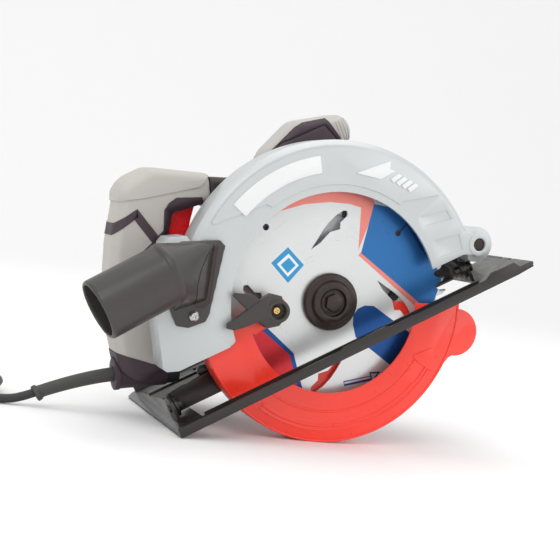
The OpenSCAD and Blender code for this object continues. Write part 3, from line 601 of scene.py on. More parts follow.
SCREW_STEEL = Finish("screw_steel", "screw_steel", (0.55, 0.54, 0.52), 0.28, metallic=1.0,
                     drift=0.12, lay=Lay.ALONG)
SPRING_STEEL = Finish("spring_steel", "spring_steel", (0.3, 0.3, 0.31), 0.3, metallic=1.0,
                      drift=0.12, lay=Lay.TURNED)
BUMPER_RUBBER = Finish("bumper_rubber", "bumper_rubber", (0.02, 0.02, 0.02), 0.7)
LEAD_RUBBER = Finish("lead_rubber", "lead_rubber", (0.022, 0.022, 0.023), grain_scale=1100.0,
                     grain_depth=0.06, wear=0.15, worn=(0.06, 0.06, 0.06))
RELIEF_RUBBER = Finish("relief_rubber", "relief_rubber", (0.05, 0.05, 0.048), 0.55,
                       grain_scale=1100.0, grain_depth=0.08, worn=(0.1, 0.1, 0.1))
NICKEL = Finish("pin_nickel", "pin_nickel", (0.65, 0.64, 0.61), 0.18, metallic=1.0, drift=0.05,
                lay=Lay.ALONG, wear=0.1)
CARBIDE = Finish("ground_carbide", "carbide", (0.3, 0.31, 0.33), 0.3, metallic=1.0, drift=0.15,
                 lay=Lay.ALONG)
BLACK_OXIDE = Finish("black_oxide", "flange_black", (0.045, 0.034, 0.03), 0.38, metallic=0.6,
                     grain_scale=1100.0, drift=0.08, wear=0.5, worn=(0.14, 0.11, 0.09))
TURNED_STEEL = Finish("turned_steel", "machined_steel", (0.5, 0.5, 0.52), 0.28, metallic=1.0,
                      drift=0.15, lay=Lay.TURNED)
RED_ENAMEL = Finish("red_enamel", "guard_red", (0.92, 0.04, 0.02), 0.3, coat=0.3,
                    grain_scale=420.0, drift=0.025, unevenness=0.04, wear=0.1,
                    worn=(0.75, 0.16, 0.12))
LEVER_CHARCOAL = Finish("lever_charcoal", "lever_charcoal", (0.038, 0.033, 0.031), 0.42,
                        grain_depth=0.1, wear=0.25, worn=(0.14, 0.13, 0.13))
YELLOW_ZINC = Finish("yellow_zinc", "brass_screw", (0.72, 0.52, 0.2), 0.25, metallic=1.0,
                     drift=0.1, lay=Lay.ALONG)
BLACK_ENAMEL = Finish("black_enamel", "shoe_black", (0.016, 0.012, 0.0105), 0.34, coat=0.12,
                      grain_scale=500.0, drift=0.06, unevenness=0.06, wear=0.3,
                      worn=(0.09, 0.085, 0.08))
TRIGGER_RED = Finish("trigger_red", "trigger_red", (0.93, 0.004, 0.01), 0.28, coat=0.3,
                     grain_scale=1400.0, grain_depth=0.03, wear=0.05, worn=(0.6, 0.05, 0.05))
BUTTON_BLACK = Finish("button_black", "button_black", (0.02, 0.02, 0.022), 0.35)
BUTTON_RED = Finish("button_red", "button_red", (0.6, 0.02, 0.02), 0.35)

# This navy serves the blade's print, and also a painted shadow: the upper guard's shade on the blue
# sector.
PRINT_BLUE: Colour = (0.03, 0.16, 0.42)
NAVY_PRINT_AND_GUARD_SHADOW: Colour = (0.012, 0.075, 0.27)
PRINT_PINK: Colour = (0.8, 0.25, 0.21)
PRINT_SKY: Colour = (0.045, 0.3, 0.58)
PRINT_RED: Colour = (0.6, 0.03, 0.04)
PRINT_WHITE: Colour = (0.8, 0.82, 0.83)
BARE_STEEL: Colour = (0.7, 0.715, 0.715)
BLADE_PRINT_AND_SHADOW = Finish(
    "printed_blade_steel_with_painted_shadow", "blade_steel", BARE_STEEL, 0.32, metallic=0.6, drift=0.05,
    lay=Lay.TURNED, wear=0.1, worn=(0.6, 0.61, 0.62),
    patches=(
        Patch(((-30, 98), (-30, 78), (38, 28), (66, 56), (60, 90), (20, 100)), PRINT_PINK),
        Patch(((-29.2, 78.7), (-12.3, 83.3), (9.2, 80.4), (29.6, 73.8), (45.1, 65.8),
               (53, 59.5), (36.8, 24.9), (-24, 40)), BARE_STEEL),
        Patch(((36.8, 24.9), (74.2, -44.1), (79, -42), (41, 26.5)), PRINT_PINK),
        Patch(((64.6, 57.8), (80, 48), (98, 26), (99, -24), (79.9, -44.8), (39.8, 25.4)),
              PRINT_BLUE),
        # Painted shadow: this darker navy patch along the blue sector's outer edge stands for the
        # upper guard's shade on the blade.
        Patch(((76, 40), (90, 8), (97, -30), (104, 26), (92, 44)), NAVY_PRINT_AND_GUARD_SHADOW),
        Patch(((-60, 11), (-43, -26), (-47, -60), (-90, -30), (-80, 5)), NAVY_PRINT_AND_GUARD_SHADOW),
        Patch(((-62, 5), (-46.5, -26), (-50, -54), (-86, -28), (-76, 2)), PRINT_RED),
        Patch(((12.2, -26), (15.4, -18.8), (21, -15.6), (27.6, -15.6), (34.9, -19.4),
               (59.3, -57.4), (30.7, -70.8), (10.8, -36.5)), NAVY_PRINT_AND_GUARD_SHADOW),
        Patch(((-12, -65.4), (11, -71.3), (10.4, -75.4), (-13, -69.6)), NAVY_PRINT_AND_GUARD_SHADOW),
        Patch(((-11.4, -66.6), (12, -72.4), (11.8, -73.9), (-12, -68.1)), BARE_STEEL),
        Patch(((11.6, -68.2), (20.6, -72.0), (10.0, -78.4)), NAVY_PRINT_AND_GUARD_SHADOW),
        Patch(((12.6, -70.2), (17.6, -72.2), (11.6, -75.8)), BARE_STEEL),
        Patch(((-16.5, 54.4), (-9.2, 35.9), (-26.9, 28), (-34.2, 48.3)), PRINT_SKY),
        Patch(((-17.9, 49.4), (-13.3, 37.4), (-25.2, 32.6), (-29.9, 45.6)), PRINT_WHITE),
        Patch(((-18.9, 46.4), (-15.8, 38.4), (-24.2, 35.4), (-27.3, 43.8)), PRINT_SKY),
    ))


# ---- the bench: how pieces are copied, cut, bevelled and dressed ----

class Bench:
    """Mesh work in edit mode and with applied modifiers."""

    @staticmethod
    def clear() -> None:
        """Leaves edit mode and deselects everything."""
        if bpy.context.object and bpy.context.object.mode != "OBJECT":
            bpy.ops.object.mode_set(mode="OBJECT")
        for other in bpy.context.selected_objects:
            other.select_set(False)

    @classmethod
    def hold(cls, piece: bpy.types.Object) -> bpy.types.Object:
        """Selects only this piece and makes it active."""
        cls.clear()
        piece.select_set(True)
        bpy.context.view_layer.objects.active = piece
        return piece

    @classmethod
    def edit(cls, piece: bpy.types.Object) -> None:
        """Opens the piece in edit mode with all of it selected."""
        cls.hold(piece)
        bpy.ops.object.mode_set(mode="EDIT")
        bpy.ops.mesh.select_all(action="SELECT")

    @staticmethod
    def named(name: str) -> bpy.types.Object:
        """Takes the object an operator has just added and names it."""
        piece = bpy.context.object
        piece.name = name
        piece.data.name = name
        return piece

    @staticmethod
    def place(name: str, data: bpy.types.ID | None) -> bpy.types.Object:
        """Puts a new object with this data into the scene."""
        piece = bpy.data.objects.new(name, data)
        bpy.context.scene.collection.objects.link(piece)
        return piece

    @classmethod
    def smooth(cls, piece: bpy.types.Object, angle: float) -> bpy.types.Object:
        """Smooths the faces that meet at less than an angle, in degrees."""
        cls.hold(piece)
        bpy.ops.object.shade_smooth_by_angle(angle=math.radians(angle))
        return piece

    @classmethod
    def copy_node(cls, frame: dict, node: str, name: str) -> bpy.types.Object:
        """Copies a CAD node's mesh into a piece, with its loose triangles merged.

        Args:
            node: the CAD node.
            name: the piece's name.

        Returns:
            The piece.
        """
        piece = cls.place(name, frame["nodes"][node].data.copy())
        piece.data.name = name
        piece.data.materials.clear()
        cls.edit(piece)
        bpy.ops.mesh.remove_doubles(threshold=WELD * MM)
        bpy.ops.mesh.customdata_custom_splitnormals_clear()
        bpy.ops.mesh.dissolve_limited(angle_limit=math.radians(FLAT_WITHIN))
        cls.clear()
        return piece

    @classmethod
    def apply(cls, piece: bpy.types.Object, kind: str, **settings: object) -> bpy.types.Object:
        """Adds a modifier, sets it and applies it.

        Args:
            piece: the piece.
            kind: the modifier's type.
            **settings: its settings.

        Returns:
            The piece.
        """
        cls.hold(piece)
        modifier = piece.modifiers.new(kind.lower(), kind)
        for key, value in settings.items():
            setattr(modifier, key, value)
        bpy.ops.object.modifier_apply(modifier=modifier.name)
        return piece

    @classmethod
    def round_edges(cls, piece: bpy.types.Object, width: float,
                    segments: int = 2) -> bpy.types.Object:
        """Bevels the sharp edges and smooths the faces between them.

        Args:
            piece: the piece.
            width: the bevel's width in millimetres.
            segments: faces across the bevel.

        Returns:
            The piece.
        """
        cls.apply(piece, "BEVEL", width=width * MM, segments=segments, limit_method="ANGLE",
                  angle_limit=math.radians(BEVELLED_FROM), use_clamp_overlap=True,
                  miter_outer="MITER_ARC", loop_slide=True)
        return cls.smooth(piece, BEVEL_SMOOTH)

    @classmethod
    def dress(cls, piece: bpy.types.Object, body: Body, finish: Finish,
              replaces: Sequence[str] = ()) -> bpy.types.Object:
        """Gives a piece its material and body.

        Args:
            piece: the finished piece.
            body: what it rides on.
            finish: its finish.
            replaces: the CAD nodes it stands for.

        Returns:
            The piece.
        """
        cls.clear()
        piece.data.materials.clear()
        piece.data.materials.append(finish.material())
        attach(piece, body.value)
        if replaces:
            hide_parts(*replaces)
        LOG.info("%s: %d faces, %s", piece.name, len(piece.data.polygons), finish.name)
        return piece


def blend_steps(points: Sequence[Vector], steps: int) -> list[Vector]:
    """A smooth line through the points.

    Args:
        points: the points it goes through.
        steps: how many stretches each gap is cut into.

    Returns:
        The line's points.
    """
    line = []
    for k in range(len(points) - 1):
        a, b = points[max(k - 1, 0)], points[k]
        c, d = points[k + 1], points[min(k + 2, len(points) - 1)]
        for j in range(steps):
            t = j / steps
            line.append(0.5 * (2 * b + (c - a) * t + (2 * a - 5 * b + 4 * c - d) * t * t
                               + (3 * b - a - 3 * c + d) * t ** 3))
    return line + [points[-1].copy()]


class Shaper:
    """Shapes that repeat on the saw, made from primitives in edit mode."""

    @staticmethod
    def outline_plate(name: str, outline: Sequence[Point2], y0: float,
                      y1: float) -> bpy.types.Object:
        """A plate with an outline in the saw's X and Z, from y0 to y1.

        Args:
            name: the piece's name.
            outline: the outline, in millimetres.
            y0: its near face.
            y1: its far face.

        Returns:
            The piece.
        """
        Bench.clear()
        bpy.ops.mesh.primitive_circle_add(vertices=len(outline), radius=MM, fill_type="NGON")
        piece = Bench.named(name)
        for vertex, (x, z) in zip(piece.data.vertices, outline):
            vertex.co = SAW.point(x, y0, z)
        Bench.edit(piece)
        bpy.ops.mesh.extrude_region_move(
            TRANSFORM_OT_translate={"value": (0.0, (y1 - y0) * MM, 0.0)})
        bpy.ops.mesh.select_all(action="SELECT")
        bpy.ops.mesh.normals_make_consistent(inside=False)
        Bench.clear()
        return piece

    @staticmethod
    def arc_bead(name: str, radius: float, y: float, size: Point2, a0: float,
                 a1: float) -> bpy.types.Object:
        """A rounded bead along an arc about the blade's axis.

        Args:
            name: the piece's name.
            radius: the arc's radius, in millimetres.
            y: where it lies along Y.
            size: its half width and half height.
            a0: the arc's first angle in the saw's X and Z, in degrees.
            a1: its last angle.

        Returns:
            The piece.
        """
        Bench.clear()
        bpy.ops.mesh.primitive_circle_add(vertices=BEAD_SIDES, radius=1.0, fill_type="NGON")
        piece = Bench.named(name)
        a = math.radians(a0)
        out = Vector((math.cos(a), 0, math.sin(a)))
        across = Vector((0, 1, 0))
        for vertex in piece.data.vertices:
            u, v = vertex.co.x * size[0], vertex.co.y * size[1]
            vertex.co = SAW.place() @ (out * (radius + u) + across * (y + v))
        Bench.edit(piece)
        bpy.ops.mesh.spin(steps=BEAD_STEPS, angle=math.radians(a1 - a0),
                          center=SAW.point(0, y, 0), axis=(0.0, 1.0, 0.0))
        bpy.ops.mesh.select_all(action="SELECT")
        bpy.ops.mesh.fill_holes(sides=0)
        bpy.ops.mesh.normals_make_consistent(inside=False)
        return Bench.smooth(piece, BEAD_SMOOTH)

    @staticmethod
    def lathe(name: str, profile: Sequence[Point2], place: Matrix) -> bpy.types.Object:
        """A profile turned about the local Z axis.

        Args:
            name: the piece's name.
            profile: points as radius and height, in millimetres, from axis to axis.
            place: where the piece stands, in the row's frame, from millimetres.

        Returns:
            The piece.
        """
        Bench.clear()
        mesh = bpy.data.meshes.new(name)
        mesh.from_pydata([(r, 0.0, h) for r, h in profile],
                         [(k, k + 1) for k in range(len(profile) - 1)], [])
        piece = Bench.place(name, mesh)
        Bench.edit(piece)
        bpy.ops.mesh.spin(steps=LATHE_STEPS, angle=math.tau, center=(0.0, 0.0, 0.0),
                          axis=(0.0, 0.0, 1.0))
        bpy.ops.mesh.select_all(action="SELECT")
        bpy.ops.mesh.remove_doubles(threshold=0.001)
        bpy.ops.mesh.normals_make_consistent(inside=False)
        Bench.clear()
        piece.data.transform(place)
        return piece

    @staticmethod
    def soften(piece: bpy.types.Object, voxel: float, passes: int,
               keep: float = 1.0) -> bpy.types.Object:
        """Remeshes a piece evenly and rounds it all over.

        Args:
            piece: the piece.
            voxel: the new faces' size, in millimetres.
            passes: smoothing passes.
            keep: the share of faces kept at the end.

        Returns:
            The piece.
        """
        Bench.apply(piece, "REMESH", mode="VOXEL", voxel_size=voxel * MM, use_smooth_shade=True)
        Bench.apply(piece, "SMOOTH", factor=0.5, iterations=passes)
        if keep < 1.0:
            Bench.apply(piece, "DECIMATE", ratio=keep)
        Bench.hold(piece)
        bpy.ops.object.shade_smooth()
        return piece

    @staticmethod
    def cut_patch(source: bpy.types.Object, name: str, outline: Sequence[Point2],
                  lift: float) -> bpy.types.Object:
        """A skin over a soft form, cut to a convex outline in the saw's X and Z and raised.

        Args:
            source: the form it lies on.
            name: the piece's name.
            outline: its convex outline, in millimetres.
            lift: how far it stands proud, in millimetres.

        Returns:
            The piece.
        """
        piece = Bench.place(name, source.data.copy())
        for corner, inward in inward_edges(outline):
            Bench.edit(piece)
            bpy.ops.mesh.bisect(plane_co=SAW.point(corner.x, 0, corner.y),
                                plane_no=SAW.turn(-inward.x, 0, -inward.y), clear_outer=True)
        Bench.apply(piece, "SOLIDIFY", thickness=lift * MM, offset=1.0, use_rim=True)
        return Bench.smooth(piece, BEAD_SMOOTH)


# ---- sub-assemblies ----

@dataclass(frozen=True)
class PlainPart:
    """A CAD node that keeps its shape: its finish, and the bevel its edges get on a copy."""

    node: str
    finish: Finish
    bevel: float = 0.0


@dataclass
class SubAssembly:
    """Parts that move together."""

    frame: dict
    body: Body
    parts: tuple[PlainPart, ...] = ()

    def build(self) -> None:
        """Dresses the plain parts, then makes the pieces of its own."""
        for part in self.parts:
            if part.bevel:
                piece = Bench.copy_node(self.frame, part.node, f"{part.node}_finished")
                Bench.round_edges(piece, part.bevel)
                Bench.dress(piece, self.body, part.finish, [part.node])
            else:
                materials = self.frame["nodes"][part.node].data.materials
                materials.clear()
                materials.append(part.finish.material())
                LOG.info("%s: %s", part.node, part.finish.name)
        self.extras()

    def extras(self) -> None:
        """Pieces that only this sub-assembly has."""


@dataclass
class UpperGuard(SubAssembly):
    """The silver cast guard with its raised marks, and the small parts fixed to it."""

    body: Body = Body.SAW
    parts: tuple[PlainPart, ...] = (
        PlainPart("upper_guard", SILVER_PAINT, 0.8), PlainPart("guard_markings", WHITE_MARK, 0.25),
        PlainPart("guard_circlip", SPRING_STEEL), PlainPart("guard_spring", SPRING_STEEL),
        PlainPart("guard_bumper", BUMPER_RUBBER), PlainPart("front_pivot_pin", BLACK_OXIDE, 0.4),
        PlainPart("depth_lock_stud", TURNED_STEEL), PlainPart("gear_case_screws", SCREW_STEEL))


@dataclass
class LowerGuard(SubAssembly):
    """The red enamelled guard with its rolled lip, pressed ridges and lever."""

    body: Body = Body.LOWER_GUARD
    parts: tuple[PlainPart, ...] = (
        PlainPart("lower_guard", RED_ENAMEL, 0.45), PlainPart("retract_lever", LEVER_CHARCOAL, 0.7),
        PlainPart("lever_screw", YELLOW_ZINC))
    lip_radius: float = 110.5
    lip_y: float = -12.3
    lip_size: Point2 = (1.0, 0.9)
    lip_ends: Point2 = (-191.5, -24.5)
    ridge_radii: tuple[float, ...] = (101.8, 98.6, 86.8)
    ridge_y: float = -12.5
    ridge_size: Point2 = (0.9, 0.75)
    ridge_ends: Point2 = (-150.0, -56.5)
    arrow_faces: Point2 = (-13.2, -12.3)
    arrow: tuple[Point2, ...] = ((65.7, -69.4), (58.2, -87.8), (54.4, -82.2), (48.9, -73.8),
                                 (47.2, -67.6))

    def extras(self) -> None:
        """The lip, the ridges and the arrow they lead to."""
        pieces = [Shaper.arc_bead("lower_guard_lip", self.lip_radius, self.lip_y, self.lip_size,
                                  *self.lip_ends)]
        for k, radius in enumerate(self.ridge_radii):
            pieces.append(Shaper.arc_bead(f"lower_guard_ridge_{k + 1}", radius, self.ridge_y,
                                          self.ridge_size, *self.ridge_ends))
        arrow = Shaper.outline_plate("lower_guard_arrow", self.arrow, *self.arrow_faces)
        pieces.append(Bench.round_edges(arrow, 0.35))
        for piece in pieces:
            Bench.dress(piece, self.body, RED_ENAMEL)


@dataclass
class BladeSet(SubAssembly):
    """The printed blade with the guard's shadow painted on it, its flanges and bolt, and the gear
    that drives it.
    """

    body: Body = Body.BLADE
    parts: tuple[PlainPart, ...] = (
        PlainPart("blade", BLADE_PRINT_AND_SHADOW), PlainPart("carbide_tips", CARBIDE),
        PlainPart("outer_flange", BLACK_OXIDE, 0.5), PlainPart("inner_flange", TURNED_STEEL),
        PlainPart("blade_bolt", BLACK_OXIDE, 0.5), PlainPart("spindle", TURNED_STEEL),
        PlainPart("driven_gear", TURNED_STEEL))


@dataclass
class Motor(SubAssembly):
    """The gear case, the motor housing and what is inside them."""

    body: Body = Body.SAW
    parts: tuple[PlainPart, ...] = (
        PlainPart("gear_case", CAST_ALLOY, 0.8), PlainPart("bearing_plate", MACHINED_ALLOY),
        PlainPart("motor_housing", HOUSING_GREY, 0.6), PlainPart("motor_end_cap", CAP_DARK, 0.6),
        PlainPart("stator_core", LAMINATION), PlainPart("field_coils", WINDING),
        PlainPart("brush_holders", HOLDER_DARK), PlainPart("carbon_brushes", CARBON),
        PlainPart("brush_caps", BUTTON_BLACK, 0.3), PlainPart("ball_bearings", BEARING_STEEL),
        PlainPart("housing_screws", SCREW_STEEL))


@dataclass
class Armature(SubAssembly):
    """The turning part of the motor."""

    body: Body = Body.ARMATURE
    parts: tuple[PlainPart, ...] = (
        PlainPart("armature_shaft", TURNED_STEEL), PlainPart("pinion", TURNED_STEEL),
        PlainPart("armature_core", LAMINATION), PlainPart("armature_windings", WINDING),
        PlainPart("commutator", WINDING), PlainPart("fan", HOLDER_DARK))


@dataclass
class RearHandle(SubAssembly):
    """The rear grip: two moulded shells with a soft dark skin in zigzag bands, and the switch."""

    body: Body = Body.SAW
    parts: tuple[PlainPart, ...] = (PlainPart("switch_body", SWITCH_BLACK),
                                    PlainPart("cord_gland", GRIP_DARK, 0.6),
                                    PlainPart("cord_clamp", SWITCH_BLACK))
    bands: tuple[tuple[Point2, ...], ...] = (
        ((-146, 118), (-146, 110.5), (-113.5, 118.4), (-111.6, 124.6)),
        ((-111.6, 124.6), (-117, 118.6), (-110.5, 96), (-103.5, 97.5)),
        ((-98.6, 101), (-92, 115.5), (-84, 112), (-88, 92), (-97, 88)),
        ((-92, 115.5), (-86.5, 119.4), (-79.3, 121), (-60, 113.6), (-60, 106), (-88, 106)),
        ((-98.6, 101), (-109.5, 97.5), (-112, 92), (-104, 76), (-86, 76), (-88, 94)),
        ((-109, 96.5), (-112.5, 92.5), (-130.5, 85.5), (-130, 89)),
        ((-186, 42), (-136, -1), (-120, -16), (-120, -30), (-186, -30)),
        ((-52, 136), (-49.5, 126), (-44, 118), (-20, 108), (-20, 124)),
    )
    cap: tuple[Point2, ...] = ((-140, 137.5), (-120, 155), (-88, 156), (-50.5, 138), (-49.5, 126),
                               (-62, 119.2), (-104, 130.5))
    band_lift: float = 0.55
    cap_lift: float = 1.1

    def extras(self) -> None:
        """The two shells as one soft form, its skin and the black column."""
        near = Bench.copy_node(self.frame, "handle_near_shell", "rear_grip")
        far = Bench.copy_node(self.frame, "handle_far_shell", "rear_grip_far")
        Bench.hold(near)
        far.select_set(True)
        bpy.ops.object.join()
        Shaper.soften(near, 1.5, 7)
        for k, outline in enumerate(self.bands):
            band = Shaper.cut_patch(near, f"rear_grip_band_{k + 1}", outline, self.band_lift)
            Bench.dress(band, self.body, GRIP_DARK)
        cap = Shaper.cut_patch(near, "rear_grip_cap", self.cap, self.cap_lift)
        Bench.dress(cap, self.body, GRIP_GREY)
        Bench.dress(near, self.body, GRIP_GREY, ["handle_near_shell", "handle_far_shell"])
        column = Bench.copy_node(self.frame, "handle_column", "rear_grip_column")
        Shaper.soften(column, 1.3, 5)
        Bench.dress(column, self.body, COLUMN_BLACK, ["handle_column"])


@dataclass
class FrontHandle(SubAssembly):
    """The front grip: a dark soft core with a light moulded top shell."""

    body: Body = Body.SAW
    skins: tuple[tuple[Point2, ...], ...] = (
        ((-6, 108), (3, 117.5), (14.9, 123.6), (40.9, 133.8), (41, 104), (8, 100)),
        ((40.9, 133.8), (48.5, 134.9), (69, 131), (75, 112), (72, 104), (41, 104)))
    skin_lift: float = 0.5
    rib_places: tuple[float, ...] = (75.5, 78.3, 81.1, 83.9)
    rib_width: float = 1.3
    rib_span: Point2 = (106.0, 125.5)
    rib_slope: float = 0.5

    def extras(self) -> None:
        """The core, the top shell, the dark skin over its sides and the ribs at its end."""
        moulded = []
        for node, finish in (("front_handle_core", GRIP_DARK), ("front_handle_shell", GRIP_GREY)):
            piece = Bench.copy_node(self.frame, node, f"{node}_moulded")
            Shaper.soften(piece, 1.2, 6)
            moulded.append(Bench.dress(piece, self.body, finish, [node]))
        for k, outline in enumerate(self.skins):
            skin = Shaper.cut_patch(moulded[1], f"front_grip_skin_{k + 1}", outline, self.skin_lift)
            Bench.dress(skin, self.body, GRIP_DARK)
        for k, x in enumerate(self.rib_places):
            low, high = self.rib_span
            end = x + self.rib_width
            strip = ((x, high), (x, low), (end, low), (end, high - self.rib_slope))
            rib = Shaper.cut_patch(moulded[1], f"front_grip_rib_{k + 1}", strip, self.skin_lift)
            Bench.dress(rib, self.body, GRIP_GREY)


@dataclass
class DustPort(SubAssembly):
    """The charcoal dust outlet, the facet on its flange and its screw."""

    body: Body = Body.SAW
    parts: tuple[PlainPart, ...] = (PlainPart("dust_port_screw", SCREW_STEEL),)
    facet: tuple[Point2, ...] = ((-74.5, 81.4), (-80, 82.6), (-89, 80), (-98.5, 73.5),
                                 (-106.5, 63.5), (-110.6, 52), (-108.4, 45), (-102.5, 41.8),
                                 (-96.5, 43.8))
    facet_lift: float = 0.35

    def extras(self) -> None:
        """The outlet as one soft moulding, with the facet as a darker skin on it."""
        piece = Bench.copy_node(self.frame, "dust_port", "dust_port_moulded")
        Shaper.soften(piece, 0.9, 4, keep=0.6)
        facet = Shaper.cut_patch(piece, "dust_port_facet", self.facet, self.facet_lift)
        Bench.dress(facet, self.body, FACET_BROWN)
        Bench.dress(piece, self.body, PORT_CHARCOAL, ["dust_port"])


@dataclass
class DepthFrame(SubAssembly):
    """The arms that carry the shoe for the depth setting."""

    body: Body = Body.DEPTH
    parts: tuple[PlainPart, ...] = (PlainPart("depth_frame_front", BLACK_ENAMEL, 0.35),
                                    PlainPart("depth_frame_rear", BLACK_ENAMEL, 0.35))


@dataclass
class Shoe(SubAssembly):
    """The pressed black shoe and its bevel bracket."""

    body: Body = Body.SHOE
    parts: tuple[PlainPart, ...] = (PlainPart("shoe", BLACK_ENAMEL, 0.4),
                                    PlainPart("bevel_bracket", BLACK_ENAMEL, 0.35))


CONTROLS: tuple[tuple[Body, PlainPart], ...] = (
    (Body.DEPTH_LEVER, PlainPart("depth_lock_lever", BLACK_ENAMEL, 0.5)),
    (Body.BEVEL_KNOB, PlainPart("bevel_lock_knob", BLACK_ENAMEL, 0.5)),
    (Body.FENCE, PlainPart("fence_screw", BLACK_ENAMEL, 0.4)),
    (Body.TRIGGER, PlainPart("trigger", TRIGGER_RED, 1.2)),
    (Body.LOCK_OFF, PlainPart("lock_off_button", BUTTON_BLACK, 0.5)),
    (Body.SPINDLE_LOCK, PlainPart("spindle_lock_button", BUTTON_RED, 0.5)),
)


@dataclass
class MainsLead:
    """The rubber lead, from its strain relief to the coil and the two-pin plug; sizes in metres."""

    frame: dict
    diameter: float = 0.007
    lead_route: tuple[Point3, ...] = (
        (-0.1855, -0.012, 0.0113), (-0.194, -0.012, 0.0076), (-0.204, -0.012, 0.0046),
        (-0.216, -0.012, 0.0036), (-0.228, -0.012, 0.0036), (-0.242, -0.012, 0.0036),
        (-0.257, -0.012, 0.0036))
    tail_route: tuple[Point3, ...] = (
        (-0.257, -0.012, 0.0106), (-0.272, -0.012, 0.0106), (-0.288, -0.012, 0.0106),
        (-0.304, -0.012, 0.011))
    coil_at: Point2 = (-0.257, 0.0385)
    outer_turn: float = 0.0505
    turn_step: float = 0.00705
    turns: int = 7
    turn_points: int = 36
    route_steps: int = 3
    tie_half: Point2 = (0.0153, 0.0074)
    tie_middle: float = 0.0071
    tie_width: float = 0.007
    tie_wall: float = 0.0008
    tie_squareness: float = 0.35
    floor_gap: float = 0.0001

    def coil(self) -> list[Vector]:
        """The coil's turns: inwards on the floor, up on the inmost turn, and out again on top.

        Returns:
            Its points, without the first and the last, which the routes have.
        """
        points = []
        low, high = self.lead_route[-1][2], self.tail_route[0][2]
        layer = (self.turns - 1) / 2
        for k in range(1, self.turns * self.turn_points):
            turn = k / self.turn_points
            inward = min(turn, layer, self.turns - turn)
            climb = min(max(turn - layer, 0.0), 1.0)
            lift = math.sqrt(1.0 - (1.0 - climb) ** 2)
            angle = -math.pi / 2 - math.tau * turn
            radius = self.outer_turn - self.turn_step * inward
            points.append(Vector((self.coil_at[0] + radius * math.cos(angle),
                                  self.coil_at[1] + radius * math.sin(angle),
                                  low + (high - low) * lift)))
        return points

    def build(self) -> None:
        """The lead, its strain relief, the tie and the plug."""
        lead_in = blend_steps([Vector(p) for p in self.lead_route], self.route_steps)
        tail = blend_steps([Vector(p) for p in self.tail_route], self.route_steps)
        line = lead_in + self.coil() + tail
        curve = bpy.data.curves.new("mains_lead", "CURVE")
        curve.dimensions = "3D"
        curve.bevel_depth = self.diameter / 2
        curve.bevel_resolution = 4
        curve.use_fill_caps = True
        spline = curve.splines.new("POLY")
        spline.points.add(len(line) - 1)
        for point, at in zip(spline.points, line):
            point.co = (*at, 1.0)
        spline.use_smooth = True
        lead = Bench.place("mains_lead", curve)
        curve.materials.append(LEAD_RUBBER.material())
        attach(lead, Body.SAW.value)
        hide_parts("cord", "cord_coil")
        pieces = [self.plug(), self.pins(), self.tie()]
        relief = Bench.copy_node(self.frame, "strain_relief", "strain_relief_sleeve")
        Shaper.soften(relief, 0.8, 5)
        Bench.dress(relief, Body.SAW, RELIEF_RUBBER, ["strain_relief"])

    def plug(self) -> bpy.types.Object:
        """The moulded plug body with its finger ridges.

        Returns:
            The piece.
        """
        profile = [(0, 0), (4.6, 0), (5.4, 5), (6.4, 9), (7.6, 13), (10.3, 15.5)]
        ridges, first_ridge, ridge_pitch = 6, 17.0, 2.6
        for k in range(ridges):
            start = first_ridge + ridge_pitch * k
            profile += [(10.9, start), (10.9, start + 1.4), (10.1, start + 1.8), (10.1, start + 2.2)]
        profile += [(10.9, 33.5), (10.9, 38.6), (9.9, 39.9), (0, 39.9)]
        place = Matrix.Translation(self.tail_route[-1]) @ Matrix.Rotation(-math.pi / 2, 4, "Y")
        piece = Shaper.lathe("plug_moulding", profile, place @ Matrix.Scale(MM, 4))
        Bench.round_edges(piece, 0.3)
        return Bench.dress(piece, Body.SAW, LEAD_RUBBER, ["plug_body"])

    def pins(self) -> bpy.types.Object:
        """The plug's two nickel pins, with rounded tips from a bevel.

        Returns:
            The piece.
        """
        piece = Bench.copy_node(self.frame, "plug_pins", "plug_pins_finished")
        Bench.round_edges(piece, 0.5, segments=3)
        return Bench.dress(piece, Body.SAW, NICKEL, ["plug_pins"])

    def tie(self) -> bpy.types.Object:
        """A rubber strap round the coil's turns, away from the saw.

        Returns:
            The piece.
        """
        Bench.clear()
        bpy.ops.mesh.primitive_cylinder_add(vertices=40, radius=1.0, depth=self.tie_width,
                                            end_fill_type="NOTHING")
        piece = Bench.named("coil_tie")
        middle = self.outer_turn - self.turn_step * (self.turns - 1) / 4
        for vertex in piece.data.vertices:
            across, up = (math.copysign(abs(part) ** self.tie_squareness, part) * half
                          for part, half in zip(vertex.co.xy, self.tie_half))
            vertex.co = (self.coil_at[0] + vertex.co.z, self.coil_at[1] + middle + across,
                         max(self.floor_gap, self.tie_middle + up))
        Bench.apply(piece, "SOLIDIFY", thickness=self.tie_wall, offset=1.0)
        for vertex in piece.data.vertices:
            vertex.co.z = max(vertex.co.z, self.floor_gap)
        Bench.smooth(piece, 40.0)
        return Bench.dress(piece, Body.SAW, LEAD_RUBBER)


